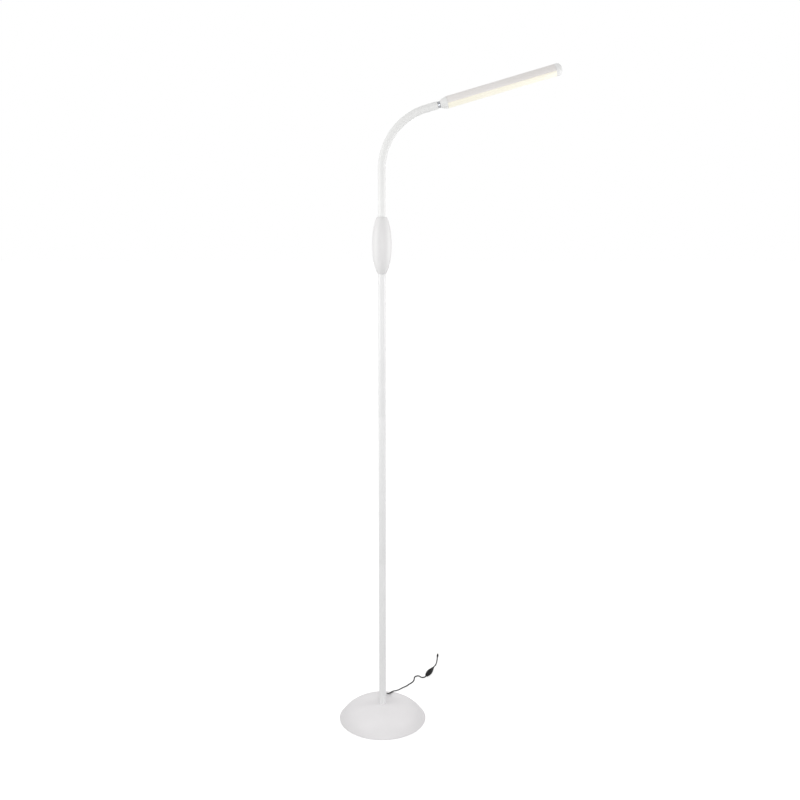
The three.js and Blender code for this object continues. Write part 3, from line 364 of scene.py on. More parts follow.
MATERIALS = {
    "cover": finish_material(
        "cover_lacquer", (233, 231, 232), (228, 226, 227), 0.44, (1500, 0.03), peel=(420, 0.12)
    ),
    "pole_paint": finish_material(
        "pole_lacquer", (243, 243, 243), (238, 238, 238), 0.36, (1700, 0.02), peel=(500, 0.08)
    ),
    "white_plastic": finish_material(
        "satin_plastic", (248, 248, 247), (244, 244, 243), 0.42, (2300, 0.03)
    ),
    # A lighter copy of the white plastic for the far end cap: painted light, not a different plastic.
    "lit_cap_plastic": finish_material(
        "cap_moulding_painted_light", (250, 250, 249), (246, 246, 245), 0.42, (2300, 0.03)
    ),
    # A darker copy of the white plastic for the handle halves: painted shade, not a different plastic.
    "shaded_handle_plastic": finish_material(
        "handle_moulding_painted_shade", (237, 236, 236), (232, 231, 231), 0.42, (2300, 0.03)
    ),
    "housing_paint": finish_material(
        "housing_coat", (248, 244, 242), (244, 240, 237), 0.38, (1700, 0.03), peel=(380, 0.06)
    ),
    "sleeve": finish_material(
        "silicone_sleeve", (247, 247, 246), (244, 244, 243), 0.5, (1900, 0.02), peel=(260, 0.03)
    ),
    "cast_iron": finish_material(
        "cast_iron_skin", (92, 92, 94), (62, 60, 59), 0.72, (700, 0.5),
        peel=(180, 0.6), patch=30, metallic=0.5,
    ),
    "foam": finish_material(
        "foam_pad_skin", (58, 58, 58), (38, 38, 39), 0.92, (1400, 0.5), peel=(500, 0.3)
    ),
    "zinc": finish_material(
        "zinc_plate", (196, 198, 202), (168, 170, 172), 0.36, (1800, 0.03),
        patch=60, metallic=1.0,
    ),
    "steel": finish_material(
        "screw_steel", (176, 178, 181), (142, 143, 146), 0.34, (2600, 0.03),
        patch=300, metallic=1.0,
    ),
    "board_green": finish_material(
        "circuit_board_mask", (52, 118, 76), (36, 92, 58), 0.45, (1300, 0.05),
        peel=(600, 0.1), patch=90,
    ),
    "board_white": finish_material(
        "light_board_mask", (246, 244, 238), (228, 226, 218), 0.5, (1500, 0.04), patch=60
    ),
    "black_plastic": finish_material(
        "black_switch_plastic", (17, 17, 18), (10, 10, 11), 0.5, (2600, 0.06),
        patch=80, gloss=0.2,
    ),
    "cord": finish_material(
        "black_cord_jacket", (26, 26, 27), (18, 18, 19), 0.45, (2100, 0.05), patch=70, gloss=0.3
    ),
    "nickel": finish_material(
        "nickel_plate", (208, 205, 197), (186, 182, 172), 0.24, (2600, 0.02),
        patch=220, metallic=1.0,
    ),
}


def chrome_material():
    nodes = Nodes("neck_chrome")
    haze = nodes.noise(90, 4, 0.6)
    swirl = nodes.noise(1400, 2, 0.5, (1, 1, 6))
    pale, dark = colour(174, 176, 180), colour(158, 160, 164)
    nodes.join("Base Color", nodes.mix(nodes.spread(haze, 0, 1), pale, dark))
    nodes.join("Metallic", 1.0)
    nodes.join("Roughness", nodes.spread(swirl, 0.08, 0.16))
    nodes.join("Normal", nodes.bump(swirl, 0.3, 0.01))
    return nodes.material


MATERIALS["chrome"] = chrome_material()

HEAD_AXIS = joint_axis("head_swivel")
LED_PITCH = 9.4
DIFFUSER_GLOW = (0.4, 0.415)


def diffuser_material():
    """Opal plastic, lit from inside, a little brighter under each light chip."""
    nodes = Nodes("opal_diffuser")
    fine = nodes.noise(1600, 2, 0.5)
    broad = nodes.noise(9, 3, 0.5)
    pale, dark = colour(214, 211, 200), colour(206, 203, 190)
    nodes.join("Base Color", nodes.mix(nodes.spread(broad, 0, 1), pale, dark))
    nodes.join("Roughness", nodes.spread(fine, 0.34, 0.46))
    nodes.join("Normal", nodes.bump(fine, 0.4, 0.03))
    inputs = {0: nodes.place, 1: tuple(HEAD_AXIS)}
    along = nodes.add("ShaderNodeVectorMath", inputs, operation="DOT_PRODUCT").outputs["Value"]
    inputs = {0: along, 1: 2 * math.pi / (LED_PITCH * MM)}
    turns = nodes.add("ShaderNodeMath", inputs, operation="MULTIPLY")
    wave = nodes.add("ShaderNodeMath", {0: turns.outputs[0]}, operation="SINE").outputs[0]
    nodes.join("Emission Color", colour(255, 250, 232))
    nodes.join("Emission Strength", nodes.spread(wave, *DIFFUSER_GLOW, (-1, 1)))
    return nodes.material


MATERIALS["diffuser"] = diffuser_material()


def dress_cad_nodes():
    """Gives every CAD node the finish of its slot."""
    for part in frame["record"]["subparts"]:
        for holder in frame["nodes"][part["node"]].material_slots:
            holder.material = MATERIALS[part["material_slot"]]


def shaped(name, mesh, body, slot, *nodes, finish=None):
    """A visible piece that stands for the CAD nodes named, in its slot's finish or another."""
    piece = add_object(name, mesh, body, MATERIALS[finish or slot])
    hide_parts(*nodes)
    return piece


# ---- Cord ------------------------------------------------------------------------------------

# The outlet's height and its direction in degrees: round from X, and below level.
OUTLET_HEIGHT = 66.8
OUTLET_AZIMUTH = 62
OUTLET_DROP = 36
RELIEF_END = 21
CORD_RADIUS = 1.6
SWITCH_START = (110, 194.2, 6.3)
SWITCH_ANGLE = 66.5
SWITCH_LENGTH = 51
PLUG_START = (143.5, 307.2, 2.7)
PLUG_ANGLE = 83.5
# The cord runs straight between these two distances from each piece that holds it.
CORD_GAP = 0.3
CORD_LEAD_IN = 3.5

LEAD_ROUTE = [
    (11, 26, 46.9), (12.7, 32, 43.3), (14.5, 38, 40.4), (17.3, 45.5, 38), (20.6, 54, 35.7),
    (24, 63, 32.7), (27.6, 73, 28.4), (31.3, 84, 23.2), (35.3, 96, 18), (39.6, 108, 13.5),
    (44.6, 121, 9.3), (50.8, 134.5, 5.5), (58, 146.2, 2.8), (65.2, 157.5, 1.8), (72, 166, 1.8),
    (76.9, 175.6, 1.8), (78.55, 184.4, 1.9), (79.25, 192.35, 2), (80.75, 195.75, 2.3),
    (83.35, 197.95, 2.65), (86.1, 198.7, 3), (88.8, 198.3, 3.4), (91.2, 196.85, 3.75),
    (93.15, 194.35, 4.05), (94.85, 190.9, 4.35), (96.65, 188.45, 4.65), (99.05, 186.8, 5),
    (101.55, 186.25, 5.35), (103.95, 186.65, 5.7), (106.45, 188.2, 6.05),
]
TAIL_ROUTE = [(134.6, 252.4, 4.9), (137.4, 263.5, 3.1), (139.7, 276, 1.9), (141.6, 290, 1.8)]

OUTLET_DIRECTION = level_direction(OUTLET_AZIMUTH) * math.cos(math.radians(OUTLET_DROP))
OUTLET_DIRECTION.z = -math.sin(math.radians(OUTLET_DROP))


def outlet_point(distance):
    """A point on the line along which the cord leaves the pole's axis."""
    return OUTLET_DIRECTION * distance + Vector((0, 0, OUTLET_HEIGHT))


def point_along(start, degrees, distance):
    return Vector(start) + level_direction(degrees) * distance


def cord_points():
    """Points from the strain relief, through the switch, to the plug."""
    leaving, arriving = (CORD_GAP, CORD_LEAD_IN), (CORD_LEAD_IN, CORD_GAP)
    lead = [outlet_point(RELIEF_END + gap) for gap in leaving]
    lead += [Vector(point) for point in LEAD_ROUTE]
    lead += [point_along(SWITCH_START, SWITCH_ANGLE, -gap) for gap in arriving]
    tail = [point_along(SWITCH_START, SWITCH_ANGLE, SWITCH_LENGTH + gap) for gap in leaving]
    tail += [Vector(point) for point in TAIL_ROUTE]
    tail += [point_along(PLUG_START, PLUG_ANGLE, -gap) for gap in arriving]
    return lead + tail


def centripetal_tangents(points):
    """For each point, its tangent for the stretch before it and for the stretch after it."""
    count = len(points)
    ends = [points[0] * 2 - points[1], *points, points[-1] * 2 - points[-2]]
    steps = [(ends[i + 1] - ends[i]).length ** 0.5 for i in range(count + 1)]
    tangents = []
    for i in range(count):
        before, after = steps[i], steps[i + 1]
        slope = (ends[i + 1] - ends[i]) / before
        slope -= (ends[i + 2] - ends[i]) / (before + after)
        slope += (ends[i + 2] - ends[i + 1]) / after
        tangents.append((slope * before, slope * after))
    return tangents


def add_cord():
    """One round curve through the cord's points. It stands for both stretches of cord."""
    points = cord_points()
    data = bpy.data.curves.new("cord", "CURVE")
    data.dimensions = "3D"
    data.resolution_u = 10
    data.bevel_depth = CORD_RADIUS * MM
    data.bevel_resolution = 5
    data.use_fill_caps = True
    spline = data.splines.new("BEZIER")
    spline.bezier_points.add(len(points) - 1)
    for bezier, point, (before, after) in zip(
        spline.bezier_points, points, centripetal_tangents(points)
    ):
        bezier.co = point * MM
        bezier.handle_left_type = bezier.handle_right_type = "FREE"
        bezier.handle_left = (point - before / 3) * MM
        bezier.handle_right = (point + after / 3) * MM
    cord = add_object("cord", data, "stand", MATERIALS["cord"])
    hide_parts("cord_lead", "cord_tail")
    return cord


cord = add_cord()

# ---- Base ------------------------------------------------------------------------------------

BASE_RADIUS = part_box("base_cover")[1].x / MM
BASE_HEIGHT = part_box("base_cover")[1].z / MM
COVER_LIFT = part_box("base_cover")[0].z / MM
COVER_WALL = 2.4
COVER_RIM_WALL = COVER_WALL * 1.2
COVER_BORE = 4.2
# The higher this power, the flatter the dome's top and the steeper its rim.
DOME_FULLNESS = 4.4
LAND_RADIUS = 12


def dome_points(rim, top, inner, steps=44):
    """Points up a dome, from its rim to an inner radius. It is steepest at its rim."""
    last = math.acos(inner / rim)
    points = []
    for i in range(steps + 1):
        radius = rim * math.cos(last * i / steps)
        height = COVER_LIFT + (top - COVER_LIFT) * (1 - (radius / rim) ** DOME_FULLNESS)
        points.append((radius, height))
    return points


def base_cover():
    """A domed shell, open below, with a bore for the foot bolt."""
    outside = dome_points(BASE_RADIUS, BASE_HEIGHT, LAND_RADIUS)
    inside = dome_points(BASE_RADIUS - COVER_RIM_WALL, BASE_HEIGHT - COVER_WALL, COVER_BORE, 24)
    eased_rim = [
        (BASE_RADIUS - 0.9, COVER_LIFT),
        (BASE_RADIUS - 0.3, COVER_LIFT + 0.15),
        (BASE_RADIUS, COVER_LIFT + 0.8),
    ]
    section = [*eased_rim, *outside[2:], (COVER_BORE, BASE_HEIGHT), *inside[::-1]]
    mesh = turned("base_cover_shell", section, sides=160, sharp=50)
    return shaped("base_cover_shell", mesh, "stand", "cover", "base_cover")


# ---- Pole ------------------------------------------------------------------------------------

POLE_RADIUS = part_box("pole_section_2")[1].x / MM
POLE_WALL = 1.2
POLE_LIP = 0.35


def pole_section(index):
    """A plain tube, as long as its CAD node, with eased ends."""
    node = f"pole_section_{index}"
    low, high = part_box(node)
    bottom, top = low.z / MM, high.z / MM
    inner, outer = POLE_RADIUS - POLE_WALL, POLE_RADIUS
    section = [(inner, bottom), (outer, bottom), (outer, top), (inner, top)]
    mesh = turned(f"{node}_tube", rounded(section, POLE_LIP), sides=64)
    return shaped(f"{node}_tube", mesh, "stand", "pole_paint", node)


def strain_relief():
    """A collar in the pole's wall, and a boot that narrows along the cord with soft rings."""
    place = placed(Vector((0, 0, OUTLET_HEIGHT)) * MM, OUTLET_DIRECTION)
    bore = 1.7
    section = [(bore, 6), (4.2, 6), (4.2, 11.6), (3.9, 12.2)]
    start, end, grooves = 12.6, RELIEF_END - 1, 4
    pitch = (end - start) / grooves
    for i in range(grooves):
        foot = start + i * pitch
        wide = 3.4 - 1.1 * i / grooves
        section += [(wide - 0.45, foot), (wide - 0.45, foot + pitch * 0.4)]
        section += [(wide, foot + pitch * 0.5), (wide - 0.12, foot + pitch * 0.98)]
    section += [(2.2, RELIEF_END - 0.4), (1.9, RELIEF_END), (bore, RELIEF_END)]
    mesh = turned("cord_boot", section, place, 48, sharp=60)
    return shaped("cord_boot", mesh, "stand", "white_plastic", "strain_relief")


# ---- Handle ----------------------------------------------------------------------------------

HANDLE_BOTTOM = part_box("handle_front")[0].z / MM
HANDLE_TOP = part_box("handle_front")[1].z / MM
HANDLE_MIDDLE = (HANDLE_BOTTOM + HANDLE_TOP) / 2
HANDLE_RADIUS = -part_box("handle_front")[0].y / MM
HANDLE_FOOT_RADIUS = POLE_RADIUS + 0.6
HANDLE_CROWN_RADIUS = POLE_RADIUS + 3
HANDLE_WALL = 2
HANDLE_CROWN_ROUNDING = 3
SEAM_GAP = 0.2
SCREW_SIDE = 8.5
SCREW_OFFSET = 20.5
SCREW_SEAT = 9
SCREW_HEAD_RADIUS = 2.9
SCREW_WELL_RADIUS = 3.2
SCREW_BOSS_RADIUS = 5.1
SCREW_BOSS_REACH = 13.6


def spindle_points(inset, foot_radius, crown_radius, steps, reach=1):
    """Points up the handle's outline, inset, from one end's radius to the other's.

    The outline is two half-ellipses, one for each end. Reach is the share of the handle's length
    that the points keep to.
    """
    radius = HANDLE_RADIUS - inset
    half_length = (HANDLE_TOP - HANDLE_BOTTOM) / 2
    points = []
    first, last = -math.acos(foot_radius / radius), math.acos(crown_radius / radius)
    for i in range(steps + 1):
        angle = first + (last - first) * i / steps
        end = HANDLE_FOOT_RADIUS if angle < 0 else HANDLE_CROWN_RADIUS
        half = half_length / math.sqrt(1 - (end / HANDLE_RADIUS) ** 2) - inset
        if abs(half * math.sin(angle)) <= half_length * reach:
            points.append((radius * math.cos(angle), HANDLE_MIDDLE + half * math.sin(angle)))
    return points


def handle_section():
    """The handle's wall, with a bore at each end that clears the pole or the arm."""
    bore = POLE_RADIUS + 0.3
    outside = spindle_points(0, HANDLE_FOOT_RADIUS, HANDLE_CROWN_RADIUS, 56)
    inside = spindle_points(HANDLE_WALL, bore, bore, 28, 0.88)
    low, high = inside[0][1], inside[-1][1]
    crown = (*outside[-1], HANDLE_CROWN_ROUNDING)
    section = [(bore, HANDLE_BOTTOM), *outside[:-2], crown, (bore, HANDLE_TOP)]
    section += [(bore, high), *inside[::-1], (bore, low)]
    return rounded(section, 0, steps=6, share=0.85)


def handle_half(name, side):
    """Half of the handle's wall, eased along its seam."""
    eased_share, ease = 0.012, 0.35

    def warp(point, share):
        if min(share, 1 - share) < eased_share:
            point = Vector((point.x * (1 - ease / max(point.xy.length, 1)), point.y, point.z))
        gap = side * SEAM_GAP / 2
        return Vector((point.x, max(point.y, gap) if side > 0 else min(point.y, gap), point.z))

    span = (0, 180) if side > 0 else (180, 360)
    return turned(name, handle_section(), sides=72, span=span, warp=warp, sharp=40)


def crosswise(x, z):
    """A frame on the XZ plane whose Z runs along Y."""
    return Matrix.Translation(Vector((x, 0, z)) * MM) @ Matrix.Rotation(-math.pi / 2, 4, "X")


def cross_rod(name, radius, near, far, x, z):
    """A rod along Y, between two values of y."""
    section = [(0, near), (radius, near), (radius, far), (0, far)]
    return turned(name, section, crosswise(x, z), sides=48)


def handle_shell(mesh, node):
    # The handle takes the white plastic with painted shade, a darker copy of it.
    return shaped(f"{node}_shell", mesh, "stand", "white_plastic", node, finish="shaded_handle_plastic")


# Each screw's X and Z. The two stand on a diagonal.
SCREW_PLACES = [(-side * SCREW_SIDE, HANDLE_MIDDLE + side * SCREW_OFFSET) for side in (-1, 1)]


def handle_rear():
    """The rear half, with a boss for each screw and a well down to its seat."""
    mesh = handle_half("handle_rear_shell", 1)
    bosses = [
        cross_rod("boss", SCREW_BOSS_RADIUS, SCREW_SEAT - 2, SCREW_BOSS_REACH, x, z)
        for x, z in SCREW_PLACES
    ]
    wells = [cross_rod("well", SCREW_WELL_RADIUS, SCREW_SEAT, 30, x, z) for x, z in SCREW_PLACES]
    mesh = combined(combined(mesh, bosses, "UNION"), wells, "DIFFERENCE")
    return handle_shell(mesh, "handle_rear")


def handle_front():
    return handle_shell(handle_half("handle_front_shell", -1), "handle_front")


def handle_screw(index):
    """A pan-head screw with a cross cut into its head."""
    place = crosswise(*SCREW_PLACES[index])
    head, shank, tip = SCREW_HEAD_RADIUS, 1.35, 1.1
    end, top = -9, SCREW_SEAT + 2
    section = [(0, end), (tip, end), (shank, end + 1), (shank, SCREW_SEAT), (head, SCREW_SEAT)]
    dome = [
        (head * math.cos(a), SCREW_SEAT + 0.7 + 1.3 * math.sin(a))
        for a in (math.radians(d) for d in range(0, 90, 15))
    ]
    mesh = turned("screw", [*section, *dome, (0, top)], place, 40)
    slots = []
    for degrees in (20, 110):
        spin = place @ Matrix.Rotation(math.radians(degrees), 4, "Z")
        half, width = 1.7, 0.32
        outline = [(-half, -width), (half, -width), (half, width), (-half, width)]
        slots.append(prism("slot", outline, top - 1.2, top + 1, spin))
    mesh = combined(mesh, slots, "DIFFERENCE")
    name = f"handle_screw_{index + 1}"
    return shaped(f"{name}_pan_head", mesh, "stand", "steel", name)


# ---- Flexible arm ----------------------------------------------------------------------------

SWAY_JOINTS = ["arm_sway", "arm_sway_2", "arm_sway_3"]
BEND_JOINTS = ["arm_bend", "arm_bend_2", "arm_bend_3", "arm_bend_4", "arm_bend_5"]
ARM_JOINTS = SWAY_JOINTS + BEND_JOINTS
ARM_RADIUS = POLE_RADIUS
BEND_ANGLE = 74
FERRULE_LENGTH = 20
NECK_POINT = joint_place("head_swivel")
NECK_RADIUS = 5.5
# The head's axis runs along this frame's Z, out from the neck's point.
HEAD_PLACE = placed(NECK_POINT, HEAD_AXIS)
# How many steps the centre line takes below, round and past the bend.
STRAIGHT_STEPS = 60
BEND_STEPS = 96
END_STEPS = 8


def arm_centre_line():
    """The arm's true centre line: straight up, round the bend, and straight on to the ferrule."""
    bends = [joint_place(name) for name in BEND_JOINTS]
    half_pitch = (bends[1] - bends[0]).length / 2
    step = math.radians(BEND_ANGLE / len(bends))
    radius = half_pitch / math.tan(step / 2)
    bottom = Vector((0, 0, HANDLE_TOP * MM))
    start = Vector((0, 0, bends[0].z - half_pitch))
    end = NECK_POINT - HEAD_AXIS * FERRULE_LENGTH * MM

    def round_bend(i):
        angle = math.radians(BEND_ANGLE) * i / BEND_STEPS
        return start + Vector((radius * (1 - math.cos(angle)), 0, radius * math.sin(angle)))

    line = [bottom.lerp(start, i / STRAIGHT_STEPS) for i in range(STRAIGHT_STEPS)]
    line += [round_bend(i) for i in range(BEND_STEPS)]
    last = round_bend(BEND_STEPS)
    return line + [last.lerp(end, i / END_STEPS) for i in range(END_STEPS + 1)]


def sleeve_cuts():
    """The points half way along each link, where one stretch of sleeve meets the next."""
    places = [joint_place(name) for name in ARM_JOINTS]
    return [a.lerp(b, 0.5) for a, b in zip(places, places[1:])]


def nearest_index(line, point):
    return min(range(len(line)), key=lambda i: (line[i] - point).length)


def sleeve_tube(name, line, first, last):
    """A tube along part of the centre line. Its end rings are square to the whole line."""
    sides = 48
    points, faces = [], []
    for i in range(first, last + 1):
        centre = line[i]
        along = line[min(i + 1, len(line) - 1)] - line[max(i - 1, 0)]
        along.normalize()
        out = Vector((along.z, 0, -along.x))
        for j in range(sides):
            angle = 2 * math.pi * j / sides
            spoke = out * math.cos(angle) + Vector((0, 1, 0)) * math.sin(angle)
            points.append(centre + spoke * ARM_RADIUS * MM)
    for near in range(0, len(points) - sides, sides):
        for j in range(sides):
            k = (j + 1) % sides
            faces.append([near + j, near + k, near + sides + k, near + sides + j])
    faces.append(list(range(sides)))
    faces.append(list(range(len(points) - sides, len(points))))
    return clean_mesh(name, points, faces)


def flexible_arm():
    """One stretch of sleeve for each joint, in place of the links."""
    line = arm_centre_line()
    cuts = [0] + [nearest_index(line, point) for point in sleeve_cuts()] + [len(line) - 1]
    held = [["arm_root"], *([f"arm_link_{i}"] for i in range(1, 7)), ["arm_link_7", "arm_end_link"]]
    for i, joint in enumerate(ARM_JOINTS):
        first, last = cuts[i], cuts[i + 1]
        name = f"arm_sleeve_{i + 1}"
        mesh = sleeve_tube(name, line, first, last)
        piece = add_object(name, mesh, None, MATERIALS["sleeve"])
        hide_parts(*held[i])
        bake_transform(piece)


def arm_ferrule():
    """The plain end of the arm, with a bore for the neck's head and a narrower mouth."""
    bore, mouth, mouth_depth = 6.6, NECK_RADIUS + 0.2, 4
    section = [
        (bore, -FERRULE_LENGTH),
        (ARM_RADIUS, -FERRULE_LENGTH, 0.35),
        (ARM_RADIUS, 0, 0.9),
        (mouth, 0, 0.2),
        (mouth, -mouth_depth),
        (bore, -mouth_depth),
    ]
    mesh = turned("arm_ferrule_ring", rounded(section, 0.1), HEAD_PLACE, 64)
    return shaped("arm_ferrule_ring", mesh, "arm_end", "sleeve", "arm_ferrule")


# ---- Head ------------------------------------------------------------------------------------

HEAD_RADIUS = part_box("head_housing")[1].y / MM
NECK_SHOWN = 5.5
INNER_CAP_LENGTH = 15
CAP_SPIGOT_RADIUS = 9.6
CAP_SPIGOT_LENGTH = 2.6
# The inner cap's curve leaves its nose towards this radius, at this height above the nose.
INNER_CAP_NOSE = 7.2
INNER_CAP_SWELL = 10.2
INNER_CAP_RISE = 4.5
CAP_JOINT_GAP = 0.3
HOUSING_START = NECK_SHOWN + INNER_CAP_LENGTH + CAP_JOINT_GAP
HOUSING_LENGTH = 230
HOUSING_END = HOUSING_START + HOUSING_LENGTH
HOUSING_BORE = HEAD_RADIUS - 1.4
# How far below level, in degrees, the housing's edges reach on each side.
HOUSING_DROP = 14
WEB_HEIGHT = 2
OUTER_CAP_LENGTH = 14
OUTER_CAP_RIM = 5


def swivel_neck():
    """A hollow tube into the inner cap, with a head that the arm's ferrule holds."""
    bore, head = 2.5, 6.4
    back, shoulder, top = -7.3, -4.3, NECK_SHOWN + 14
    section = [
        (bore, back),
        (head, back),
        (head, shoulder),
        (NECK_RADIUS, shoulder),
        (NECK_RADIUS, top),
        (bore, top),
    ]
    mesh = turned("neck_tube", rounded(section, 0.3), HEAD_PLACE, 64)
    return shaped("neck_tube", mesh, "head", "chrome", "swivel_neck")


def neck_ring():
    """The bright band seen between the ferrule and the inner cap."""
    low, high = 0.3, NECK_SHOWN - 0.3
    inner, outer = NECK_RADIUS + 0.2, 6.8
    section = [(inner, low, 0.2), (outer, low, 0.6), (outer, high, 0.6), (inner, high, 0.2)]
    mesh = turned("neck_ring_band", rounded(section, 0), HEAD_PLACE, 64)
    return shaped("neck_ring_band", mesh, "head", "chrome", "neck_ring")


def inner_cap():
    """A cap that swells from the neck to the head's radius, with a spigot inside the housing."""
    rim = NECK_SHOWN + INNER_CAP_LENGTH
    bore, spigot, far = NECK_RADIUS + 0.2, CAP_SPIGOT_RADIUS, rim + CAP_SPIGOT_LENGTH
    start = Vector((INNER_CAP_NOSE, NECK_SHOWN))
    bend = Vector((INNER_CAP_SWELL, NECK_SHOWN + INNER_CAP_RISE))
    end = Vector((HEAD_RADIUS, rim))
    steps = 18
    swell = [tuple(curve_point(start, bend, end, i / steps)) for i in range(1, steps)]
    section = [(bore, NECK_SHOWN, 0.3), (INNER_CAP_NOSE, NECK_SHOWN, 0.6), *swell]
    section += [(HEAD_RADIUS, rim, 0.25), (spigot, rim), (spigot, far), (bore, far)]
    mesh = turned("inner_cap_shell", rounded(section, 0), HEAD_PLACE, 72)
    return shaped("inner_cap_shell", mesh, "head", "white_plastic", "head_inner_cap")


def outer_cap():
    """A domed cap at the head's far end, with a spigot inside the housing."""
    rim = HOUSING_END + CAP_JOINT_GAP
    spigot, near = CAP_SPIGOT_RADIUS, rim - CAP_SPIGOT_LENGTH
    dome_start = rim + OUTER_CAP_RIM
    dome = OUTER_CAP_LENGTH - OUTER_CAP_RIM - 0.1
    curve = [
        (HEAD_RADIUS * math.cos(a), dome_start + dome * math.sin(a))
        for a in (math.radians(d) for d in range(0, 90, 5))
    ]
    section = [(0, near), (spigot, near), (spigot, rim), (HEAD_RADIUS, rim, 0.25), *curve]
    section.append((0, dome_start + dome))
    mesh = turned("outer_cap_shell", rounded(section, 0), HEAD_PLACE, 72)
    # The far cap takes the white plastic with painted light, a lighter copy of it.
    return shaped(
        "outer_cap_shell", mesh, "head", "white_plastic", "head_outer_cap", finish="lit_cap_plastic"
    )


def arc(radius, first, last, steps):
    """Points round the head's axis, in degrees from level."""
    angles = [math.radians(first + (last - first) * i / steps) for i in range(steps + 1)]
    return [(radius * math.cos(a), radius * math.sin(a)) for a in angles]


def head_housing():
    """The upper shell of the round bar, down to a little below level on each side."""
    under = math.degrees(math.asin(WEB_HEIGHT / HOUSING_BORE))
    outline = arc(HEAD_RADIUS, -HOUSING_DROP, 180 + HOUSING_DROP, 72)
    outline += arc(HOUSING_BORE, 180 + HOUSING_DROP, 180 - under, 8)
    outline += arc(HOUSING_BORE, under, -HOUSING_DROP, 8)
    mesh = prism("housing_shell", outline, HOUSING_START, HOUSING_END, HEAD_PLACE, 40)
    mesh = bevelled(mesh, 0.25, 2, 45)
    return shaped("housing_shell", mesh, "head", "housing_paint", "head_housing")


def head_diffuser():
    """The lower shell, with a foot along each edge that hooks inside the housing."""
    edge, foot_top = HOUSING_DROP + 1.4, 6
    foot_outer, foot_inner = HOUSING_BORE - 0.3, HOUSING_BORE - 1.3
    outline = arc(HEAD_RADIUS, 180 + edge, 360 - edge, 56)
    outline += arc(foot_outer, -edge, -foot_top, 4)
    outline += arc(foot_inner, -foot_top, -edge - 6, 4)
    outline += arc(foot_inner, -edge - 10, -180 + edge + 10, 40)
    outline += arc(foot_inner, -180 + edge + 6, -180 + foot_top, 4)
    outline += arc(foot_outer, -180 + foot_top, -180 + edge, 4)
    mesh = prism("diffuser_lens", outline, HOUSING_START, HOUSING_END, HEAD_PLACE, 40)
    mesh = bevelled(mesh, 0.2, 2, 45)
    return shaped("diffuser_lens", mesh, "head", "diffuser", "head_diffuser")


# ---- Switch and plug -------------------------------------------------------------------------

SWITCH_PLACE = placed(Vector(SWITCH_START) * MM, level_direction(SWITCH_ANGLE))
SWITCH_HALF_WIDTH = 7.2
SWITCH_FLATTEN = 0.8
# Shares of the half width, evenly spaced along the switch.
SWITCH_WIDTHS = (0.52, 0.76, 0.93, 1, 0.93, 0.8, 0.62, 0.44, 0.3)
ROCKER_GAP = 0.3
ROCKER_STATION = 21
ROCKER_WIDTH = 6
ROCKER_REACH = 6.4
ROCKER_TILT = 8
ROCKER_PIN_HEIGHT = 0.5
PLUG_GRIP_LENGTH = 13
PLUG_GRIP_RADIUS = 2.5
BARREL_RADIUS = 1.45
BARREL_SHOWN = 8.8


def smooth_value(values, share):
    """A smooth curve through evenly spaced values."""
    place = share * (len(values) - 1)
    i = min(int(place), len(values) - 2)
    t = place - i
    p0, p1 = values[max(i - 1, 0)], values[i]
    p2, p3 = values[i + 1], values[min(i + 2, len(values) - 1)]
    a, b = (p2 - p0) / 2, (p3 - p1) / 2
    return (2 * p1 - 2 * p2 + a + b) * t**3 + (-3 * p1 + 3 * p2 - 2 * a - b) * t * t + a * t + p1


def switch_half(name, side):
    """Half of the switch's flattened spindle, eased at its ends and along its seam."""
    steps = 48
    shares = [i / steps for i in range(steps + 1)]
    widths = [smooth_value(SWITCH_WIDTHS, share) * SWITCH_HALF_WIDTH for share in shares]
    section = [(0, 0), (widths[0] - 0.7, 0), (widths[0] - 0.15, 0.35)]
    section += [(widths[i], shares[i] * SWITCH_LENGTH) for i in range(1, steps)]
    section += [
        (widths[-1] - 0.15, SWITCH_LENGTH - 0.35),
        (widths[-1] - 0.7, SWITCH_LENGTH),
        (0, SWITCH_LENGTH),
    ]
    eased_share, ease = 0.01, 0.25

    def warp(point, share):
        gap = side * SEAM_GAP / 2
        x, y = point.x, point.y * SWITCH_FLATTEN
        if min(share, 1 - share) < eased_share:
            x *= 1 - ease / max(point.xy.length, 1)
        return Vector((x, max(y, gap) if side > 0 else min(y, gap), point.z))

    span = (0, 180) if side > 0 else (180, 360)
    return turned(name, section, SWITCH_PLACE, 56, span, warp, 50)


def switch_box(name, half_width, half_length, low, high):
    """A box round the rocker, between two heights above the switch's middle."""
    outline = [(-half_width, low), (half_width, low), (half_width, high), (-half_width, high)]
    start, end = ROCKER_STATION - half_length, ROCKER_STATION + half_length
    return prism(name, outline, start, end, SWITCH_PLACE)


def switch_shells():
    """The two halves of the switch, with a window and a pocket that clear the rocker."""
    reach = ROCKER_REACH + ROCKER_GAP
    half = ROCKER_WIDTH / 2 + ROCKER_GAP
    window = switch_box("window", half, reach, -1, 12)
    pocket = switch_box("pocket", half, reach, -3.4, 2)
    top = combined(switch_half("switch_cover", 1), [window], "DIFFERENCE")
    bottom = combined(switch_half("switch_tray", -1), [pocket], "DIFFERENCE")
    return [
        shaped("switch_cover", bevelled(top, 0.15, 2, 50), "stand", "black_plastic", "switch_top"),
        shaped("switch_tray", bottom, "stand", "black_plastic", "switch_bottom"),
    ]


